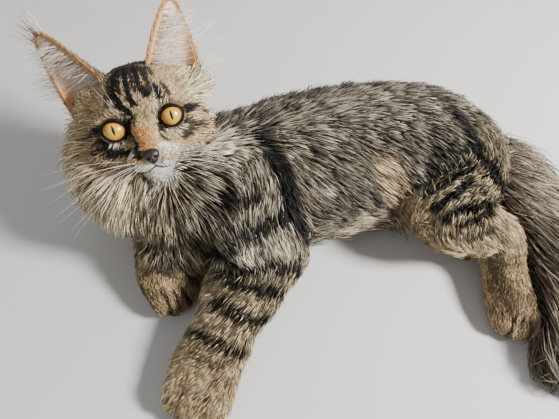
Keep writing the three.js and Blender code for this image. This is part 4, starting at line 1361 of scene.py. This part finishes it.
def makeNose():
    d, faces = roundBall(np.zeros(3), 1, np.eye(3), 6)
    d = unit(d)
    v = d * noseShape["size"]
    v[:, 0] *= 0.72 + 0.28 * d[:, 1]  # narrower below
    x, y = np.abs(v[:, 0]), v[:, 1]
    front = ramp(d[:, 2], 0.0, 0.5)
    hole = np.exp(-(((x - 2.7) / 1.15) ** 2) - ((y + 0.7 + 0.35 * (x - 2.7)) / 0.75) ** 2)
    slot = np.exp(-(((x - 4.0) / 1.0) ** 2) - ((y + 1.4) / 0.5) ** 2)
    groove = np.exp(-((x / 0.42) ** 2)) * ramp(-y, 0.2, 2.2)
    dent = noseShape["holeDepth"] * hole + noseShape["slotDepth"] * slot + noseShape["grooveDepth"] * groove
    v -= d * (dent * front)[:, None]
    piece = meshPiece("nose_leather", fromHead(v + noseShape["centre"]), faces)
    # the nostrils, the slots beside them and the groove are painted near-black: painted shade inside them
    setAttribute(piece.data, "dark", "FLOAT", np.clip(hole + slot + 0.5 * groove, 0, 1) * front, "value")
    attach(piece, "root")
    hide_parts("nose")
    return piece


def lipLines():  # both halves of the mouth, and the groove from the nose down to it
    t = np.linspace(0, 1, 16)
    lines = [(fromHead(mouthAt(side, t)), mouthShape["line"] * (1 - 0.6 * t)) for side in (1, -1)]
    groove = np.stack([np.zeros(9), np.linspace(-22.0, -25.8, 9), np.full(9, 14.0)], 1)
    return lines + [(fromHead(ontoHead(groove, 0.1)), np.full(9, mouthShape["groove"]))]


nose = makeNose()
mouth = tubes("mouth_line", lipLines(), 8)
print("face made")

# Whiskers, claws and pads
whiskerShape = {"rows": 4, "each": 3, "length": 56, "radius": 0.1, "brow": 2, "browRadius": 0.06}


def whiskerLines():
    dice = np.random.default_rng(5)
    lines = []

    def grow(start, way, length, droop, radius):
        s = np.linspace(0, 1, 12)[:, None]
        start = ontoHead(np.array([start]), -0.6)[0]
        local = start + way * length * s + np.array([0, -1, -0.25]) * droop * s**2
        lines.append((fromHead(local), radius * (1 - 0.85 * s[:, 0])))

    for side in (1, -1):
        for row in range(whiskerShape["rows"]):
            for k in range(whiskerShape["each"] if row < 3 else 2):
                start = [side * (9 + 3.0 * k), -19.5 - 1.7 * row, 13 - 2.4 * k]
                way = np.array([side, 0.12 - 0.2 * row + 0.06 * k, 0.4 - 0.18 * k])
                way = unit(way + dice.normal(0, 0.06, 3))
                length = whiskerShape["length"] * dice.uniform(0.65, 1.0)
                grow(start, way, length, dice.uniform(5, 12), whiskerShape["radius"])
        for k in range(whiskerShape["brow"]):
            way = unit(np.array([side * (0.15 + 0.28 * k), 1.0, 0.55]) + dice.normal(0, 0.05, 3))
            start = [side * (12 + 2.0 * k), 12 + 0.6 * k, 4]
            grow(start, way, dice.uniform(14, 22), -3.0, whiskerShape["browRadius"])
    return lines


whiskers = tubes("whiskers", whiskerLines(), 5)
clawShape = {"length": 3.6, "radius": 0.75, "lowest": 0.9}
clawLines, padPlaces = [], []
for name in pawNames:
    for centre, size, (side, along) in toesOf(limbs[name]):
        s = np.linspace(0, 1, 7)[:, None]
        start = centre + along * size + [0, 0, size * 0.15]
        claw = start + along * clawShape["length"] * s + np.array([0, 0, 1.0]) * (1.2 * s - 3.4 * s**2)
        claw[:, 2] = np.maximum(claw[:, 2], clawShape["lowest"])
        clawLines.append((claw, clawShape["radius"] * (1 - 0.9 * s[:, 0] ** 1.3)))
        pad = centre + along * size * 0.75 - [0, 0, size * 0.75]
        padPlaces.append((pad, [size * 0.62, size * 0.72, 1.3]))
padPlaces.append((np.array([-115.0, -126.0, 24.0]), [3.6, 3.0, 1.6]))  # the one that the folded paw shows
claws = tubes("claws", clawLines, 8, 0.7)


def makePads():
    parts = []
    for place, size in padPlaces:
        near, normal, _, _ = skinTree.find_nearest(Vector(place))
        normal = np.array(normal)
        side = unit(np.cross(normal, [0.1, 1, 0.2]))
        v, faces = roundBall(np.array(near) + normal * 0.5, size, [side, np.cross(normal, side), normal], 3)
        v[:, 2] = np.maximum(v[:, 2], 0.3)
        parts.append((v, faces))
    piece = meshPiece("pads", *joinParts(parts))
    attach(piece, "root")
    return piece


pads = makePads()
print("whiskers, claws and pads made")


# Materials: a socket with its node tree, so that sums and products of sockets read as sums and products
class Wire:
    def __init__(self, tree, socket):
        self.tree, self.socket = tree, socket

    def node(self, kind, settings=None, **inputs):  # settings go first, then the sockets' values or links
        return addNode(self.tree, kind, settings, **inputs)

    def math(self, operation, other, turned=False):
        pair = [other, self] if turned else [self, other]
        return self.node("ShaderNodeMath", {"operation": operation}, **{"0": pair[0], "1": pair[1]})[0]

    def __add__(self, other):
        return self.math("ADD", other)

    def __radd__(self, other):
        return self.math("ADD", other, True)

    def __sub__(self, other):
        return self.math("SUBTRACT", other)

    def __rsub__(self, other):
        return self.math("SUBTRACT", other, True)

    def __mul__(self, other):
        return self.math("MULTIPLY", other)

    def __rmul__(self, other):
        return self.math("MULTIPLY", other, True)

    def __truediv__(self, other):
        return self.math("DIVIDE", other)

    def __pow__(self, other):
        return self.math("POWER", other)

    def __abs__(self):
        return self.math("ABSOLUTE", 0)

    def step(self, low, high):  # a smooth step from 0 to 1
        span = self.node(
            "ShaderNodeMapRange",
            {"interpolation_type": "SMOOTHSTEP"},
            **{"Value": self, "From Min": low, "From Max": high, "To Min": 0, "To Max": 1},
        )
        return span[0]

    def tint(self, other, share, blend="MIX"):  # this colour mixed with another
        settings = {"data_type": "RGBA", "blend_type": blend}
        return self.node("ShaderNodeMix", settings, **{"0": share, "6": self, "7": other})[2]

    def shaded(self, shade):  # this colour made lighter and darker by a value
        grey = self.node("ShaderNodeCombineColor", Red=shade, Green=shade, Blue=shade)[0]
        return self.tint(grey, 1.0, "MULTIPLY")


def addNode(tree, kind, settings=None, **inputs):
    made = tree.nodes.new(kind)
    for name, value in (settings or {}).items():
        setattr(made, name, value)
    for name, value in inputs.items():
        socket = made.inputs[int(name)] if name.isdigit() else made.inputs[name]
        if isinstance(value, Wire):
            tree.links.new(value.socket, socket)
        elif socket.type == "RGBA" and len(value) == 3:
            socket.default_value = [*value, 1]
        else:
            socket.default_value = value
    return [Wire(tree, out) for out in made.outputs]


def newMaterial(name, **fixed):
    material = bpy.data.materials.new(name)
    material.use_nodes = True
    shader = material.node_tree.nodes["Principled BSDF"]
    for socket, value in fixed.items():
        shader.inputs[socket.replace("_", " ")].default_value = value
    return material, material.node_tree, shader


def feed(shader, socket, wire):
    wire.tree.links.new(wire.socket, shader.inputs[socket])


def bump(shader, height, strength, distance):
    made = height.node("ShaderNodeBump", Strength=strength, Distance=distance, Height=height)[0]
    feed(shader, "Normal", made)


def plainTone(tree, tint):
    made = addNode(tree, "ShaderNodeRGB")[0]
    made.socket.default_value = [*colour(*tint), 1]
    return made


def read(tree, name):  # an attribute's colour, vector and value
    return addNode(tree, "ShaderNodeAttribute", {"attribute_name": name})


def noise(tree, scale, detail):
    place = addNode(tree, "ShaderNodeTexCoord")[3]
    return addNode(tree, "ShaderNodeTexNoise", Vector=place, Scale=scale, Detail=detail)[0]


furLook = {"coat": (0.03, 0.55), "face": (0.02, 0.6)}  # sheen and roughness


def furMaterial(name, sheen, roughness):
    material, tree, shader = newMaterial(
        name, Roughness=roughness, Specular_IOR_Level=0.22, Sheen_Weight=sheen, Sheen_Roughness=0.4
    )
    fine, soft = noise(tree, 900, 3), noise(tree, 60, 2)
    feed(shader, "Base Color", read(tree, "tone")[0].shaded((0.82 + 0.36 * fine) * (0.9 + 0.2 * soft)))
    feed(shader, "Roughness", (roughness - 0.08) + 0.16 * fine)
    bump(shader, fine, 0.25, 0.0003)
    return material


coatMaterial = furMaterial("long coat", *furLook["coat"])
faceMaterial = furMaterial("short coat", *furLook["face"])
for piece in furPieces:
    piece.data.materials.append(faceMaterial if piece.name.startswith(("face", "paw")) else coatMaterial)
for piece in earHairs:
    piece.data.materials.append(coatMaterial)


def skinMaterial():
    material, tree, shader = newMaterial("skin and undercoat", Roughness=0.85)
    grain = noise(tree, 700, 4)
    feed(shader, "Base Color", read(tree, "tone")[0].shaded(0.75 + 0.5 * grain))
    bump(shader, grain, 0.5, 0.0006)
    return material


# The skin's tone is the coat's colour near its roots, darkened by a fifth: painted shade under the coat
outer = skinPlaces + skinNormals * growth["rise"][:, None] * 0.8
under = dressed(outer, skinNormals, skinTones, onHead)[0]
setTone(skinMesh, mix(under[:, 0], under[:, 1], 0.35) * 0.8)
skinMesh.materials.append(skinMaterial())
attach(skin, "root")
fleshNodes = [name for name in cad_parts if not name.startswith(("eye", "ear", "nose"))]
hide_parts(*fleshNodes)

earLook = {
    "pink": (240, 204, 180),
    "deep": (200, 136, 104),
    "vein": (228, 172, 146),
    "rim": (216, 158, 96),
    "back": (108, 90, 70),
}


def earMaterial():
    material, tree, shader = newMaterial(
        "ear skin", Roughness=0.6, Subsurface_Weight=0.12, Subsurface_Scale=0.002
    )
    x, t, inside = addNode(tree, "ShaderNodeSeparateXYZ", Vector=read(tree, "earPlace")[1])
    grain, veins = noise(tree, 420, 3), noise(tree, 130, 4)
    flesh = plainTone(tree, earLook["pink"])
    flesh = flesh.tint(colour(*earLook["deep"]), (1 - t.step(-0.1, 0.5)) * 0.8)
    flesh = flesh.tint(colour(*earLook["vein"]), veins.step(0.52, 0.7) * 0.35)
    flesh = flesh.tint(colour(*earLook["rim"]), abs(x).step(0.4, 0.95) * 0.8)
    feed(shader, "Base Color", plainTone(tree, earLook["back"]).tint(flesh, inside))
    bump(shader, grain, 0.3, 0.0004)
    return material


for piece in earCups:
    piece.data.materials.append(earMaterial())

eyeLook = {
    "ring": 6.5,  # radius of the dark ring round the iris
    "slit": (0.8, 3.3),  # half width and half height of the pupil
    "amber": (202, 144, 30),
    "inner": (216, 174, 62),
    "outer": (142, 90, 24),
    "rim": (30, 21, 15),
    "white": (96, 74, 58),
}


def eyeMaterial():
    material, tree, shader = newMaterial(
        "eye", Roughness=0.25, Coat_Weight=1.0, Coat_Roughness=0.02, Coat_IOR=1.4
    )
    inner, outer, rim, white = (colour(*eyeLook[part]) for part in ("inner", "outer", "rim", "white"))
    x, y, z = addNode(tree, "ShaderNodeSeparateXYZ", Vector=read(tree, "irisPlace")[1])
    r = (x * x + y * y) ** 0.5
    turnX, turnY = x / (r + 0.01) * 4.5, y / (r + 0.01) * 4.5
    around = addNode(tree, "ShaderNodeCombineXYZ", X=turnX, Y=turnY, Z=r * 0.16)[0]
    fibres = addNode(tree, "ShaderNodeTexNoise", Vector=around, Scale=2.4, Detail=5)[0]
    blotch = addNode(tree, "ShaderNodeTexNoise", Vector=around, Scale=0.7, Detail=2)[0]
    # lighter at the middle of the iris and darker towards its edge: partly the iris's own colour, partly
    # painted shade that sinks it behind the cornea
    base = plainTone(tree, eyeLook["amber"]).tint(inner, (1 - r.step(1.2, 4.2)) * 0.85)
    base = base.tint(outer, r.step(3.8, 6.3) * 0.85)
    base = base.tint(outer, fibres.step(0.45, 0.75) * 0.55)
    base = base.tint(inner, blotch.step(0.5, 0.8) * 0.35)
    ring = eyeLook["ring"]
    base = base.tint(rim, r.step(ring - 0.75, ring + 0.15))
    base = base.tint(white, r.step(ring + 0.5, ring + 1.0))
    wide, tall = eyeLook["slit"]
    slit = abs(x) - wide * (1 - (y / tall) * (y / tall))
    pupil = (1 - slit.step(-0.12, 0.16)) * z.step(0, 1)
    feed(shader, "Base Color", base.tint((0.003, 0.003, 0.003), pupil))
    bump(shader, fibres * 0.4 + (r * r) * 0.02, 0.35, 0.0006)
    return material


for piece in eyes:
    piece.data.materials.append(eyeMaterial())


def leatherMaterial(name, dark, pale, wet):
    material, tree, shader = newMaterial(name, Roughness=0.5, Coat_Weight=wet, Coat_Roughness=0.3)
    grain = noise(tree, 1500, 3)
    base = plainTone(tree, dark).tint(colour(*pale), grain.step(0.35, 0.8) * 0.6)
    # near-black where the dark attribute is set, on the nose only: painted shade in the nostrils and the
    # groove
    feed(shader, "Base Color", base.tint((0.004, 0.003, 0.003), read(tree, "dark")[2] * 0.9))
    feed(shader, "Roughness", 0.38 + 0.25 * grain)
    bump(shader, grain, 0.5, 0.0003)
    return material


lidLook = {"tone": (15, 11, 9), "roughness": 0.5}


def lidMaterial():
    material, tree, shader = newMaterial("lid", Specular_IOR_Level=0.15)
    feed(shader, "Base Color", plainTone(tree, lidLook["tone"]))
    feed(shader, "Roughness", lidLook["roughness"] + 0.3 * noise(tree, 900, 3))
    return material


leatherLook = {  # dark tone, pale tone and wetness
    "nose leather": ((27, 19, 17), (62, 43, 38), 0.15),
    "pad leather": ((44, 32, 28), (80, 60, 52), 0.05),
    "lip": ((30, 22, 20), (52, 38, 34), 0.1),
}
for piece, name in ((nose, "nose leather"), (pads, "pad leather"), (mouth, "lip")):
    piece.data.materials.append(leatherMaterial(name, *leatherLook[name]))
lidFinish = lidMaterial()
for piece in lids:
    piece.data.materials.append(lidFinish)


def hornMaterial(name, pale, roughness):
    material, tree, shader = newMaterial(name, Roughness=roughness)
    grain = noise(tree, 300, 3)
    feed(shader, "Base Color", plainTone(tree, pale).tint(colour(*pale) * 0.7, grain * 0.4))
    feed(shader, "Roughness", roughness + 0.1 * grain)
    return material


hornLook = {"whisker": ((244, 242, 238), 0.4), "claw": ((214, 200, 180), 0.3)}  # tone and roughness
for piece, name in ((whiskers, "whisker"), (claws, "claw")):
    piece.data.materials.append(hornMaterial(name, *hornLook[name]))
print("materials set")

# Floor, light and camera
studio = {
    "floor": (0.62, 0.6, 0.57),
    "floorSize": 3000,
    "lights": {  # place, aim, power and size
        "key": ((0.95, -0.1, 0.85), (-0.02, -0.04, 0.04), 48, 0.25),
        "fill": ((-0.7, -0.9, 0.9), (-0.05, -0.05, 0.05), 3.2, 0.9),
        "back": ((-0.2, 0.9, 0.8), (0, 0, 0.05), 2.56, 0.9),
    },
    "worldTone": (0.93, 0.95, 1),
    "worldStrength": 0.3,
}
edge = studio["floorSize"]
floorCorners = [[-edge, -edge, 0], [edge, -edge, 0], [edge, edge, 0], [-edge, edge, 0]]
floor = meshPiece("floor", floorCorners, [[0, 1, 2, 3]], False)
floorMaterial, _, shader = newMaterial("pale floor", Roughness=0.75)
shader.inputs["Base Color"].default_value = [*studio["floor"], 1]
floor.data.materials.append(floorMaterial)
floor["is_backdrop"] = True
for name, (place, aim, power, size) in studio["lights"].items():
    light = bpy.data.lights.new(name, "AREA")
    light.energy, light.size = power, size
    lamp = addObject(name, light)
    lamp.location = place
    lamp.rotation_euler = (Vector(aim) - Vector(place)).to_track_quat("-Z", "Y").to_euler()
world = bpy.data.worlds.new("studio")
world.use_nodes = True
background = world.node_tree.nodes["Background"]
background.inputs["Color"].default_value = [*studio["worldTone"], 1]
background.inputs["Strength"].default_value = studio["worldStrength"]
bpy.context.scene.world = world

cameraView = {
    "place": (-0.06, -0.235, 0.3),
    "right": (0.98656, 0.1365, 0.08979),
    "up": (-0.1634, 0.8242, 0.5422),
    "sensor": 36,
    "lens": 26.98,
    "nearest": 0.01,
}
lens = bpy.data.cameras.new("camera")
lens.sensor_width, lens.lens = cameraView["sensor"], cameraView["lens"]
lens.clip_start = cameraView["nearest"]
camera = addObject("camera", lens)
right, up = Vector(cameraView["right"]).normalized(), Vector(cameraView["up"])
up = (up - right * up.dot(right)).normalized()
turned = Matrix([right, up, right.cross(up)]).transposed()
camera.matrix_world = Matrix.Translation(cameraView["place"]) @ turned.to_4x4()
bpy.context.scene.camera = camera
print("studio set")

sizes = {"cad": cadBox, "visual": [list(corner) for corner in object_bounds()]}
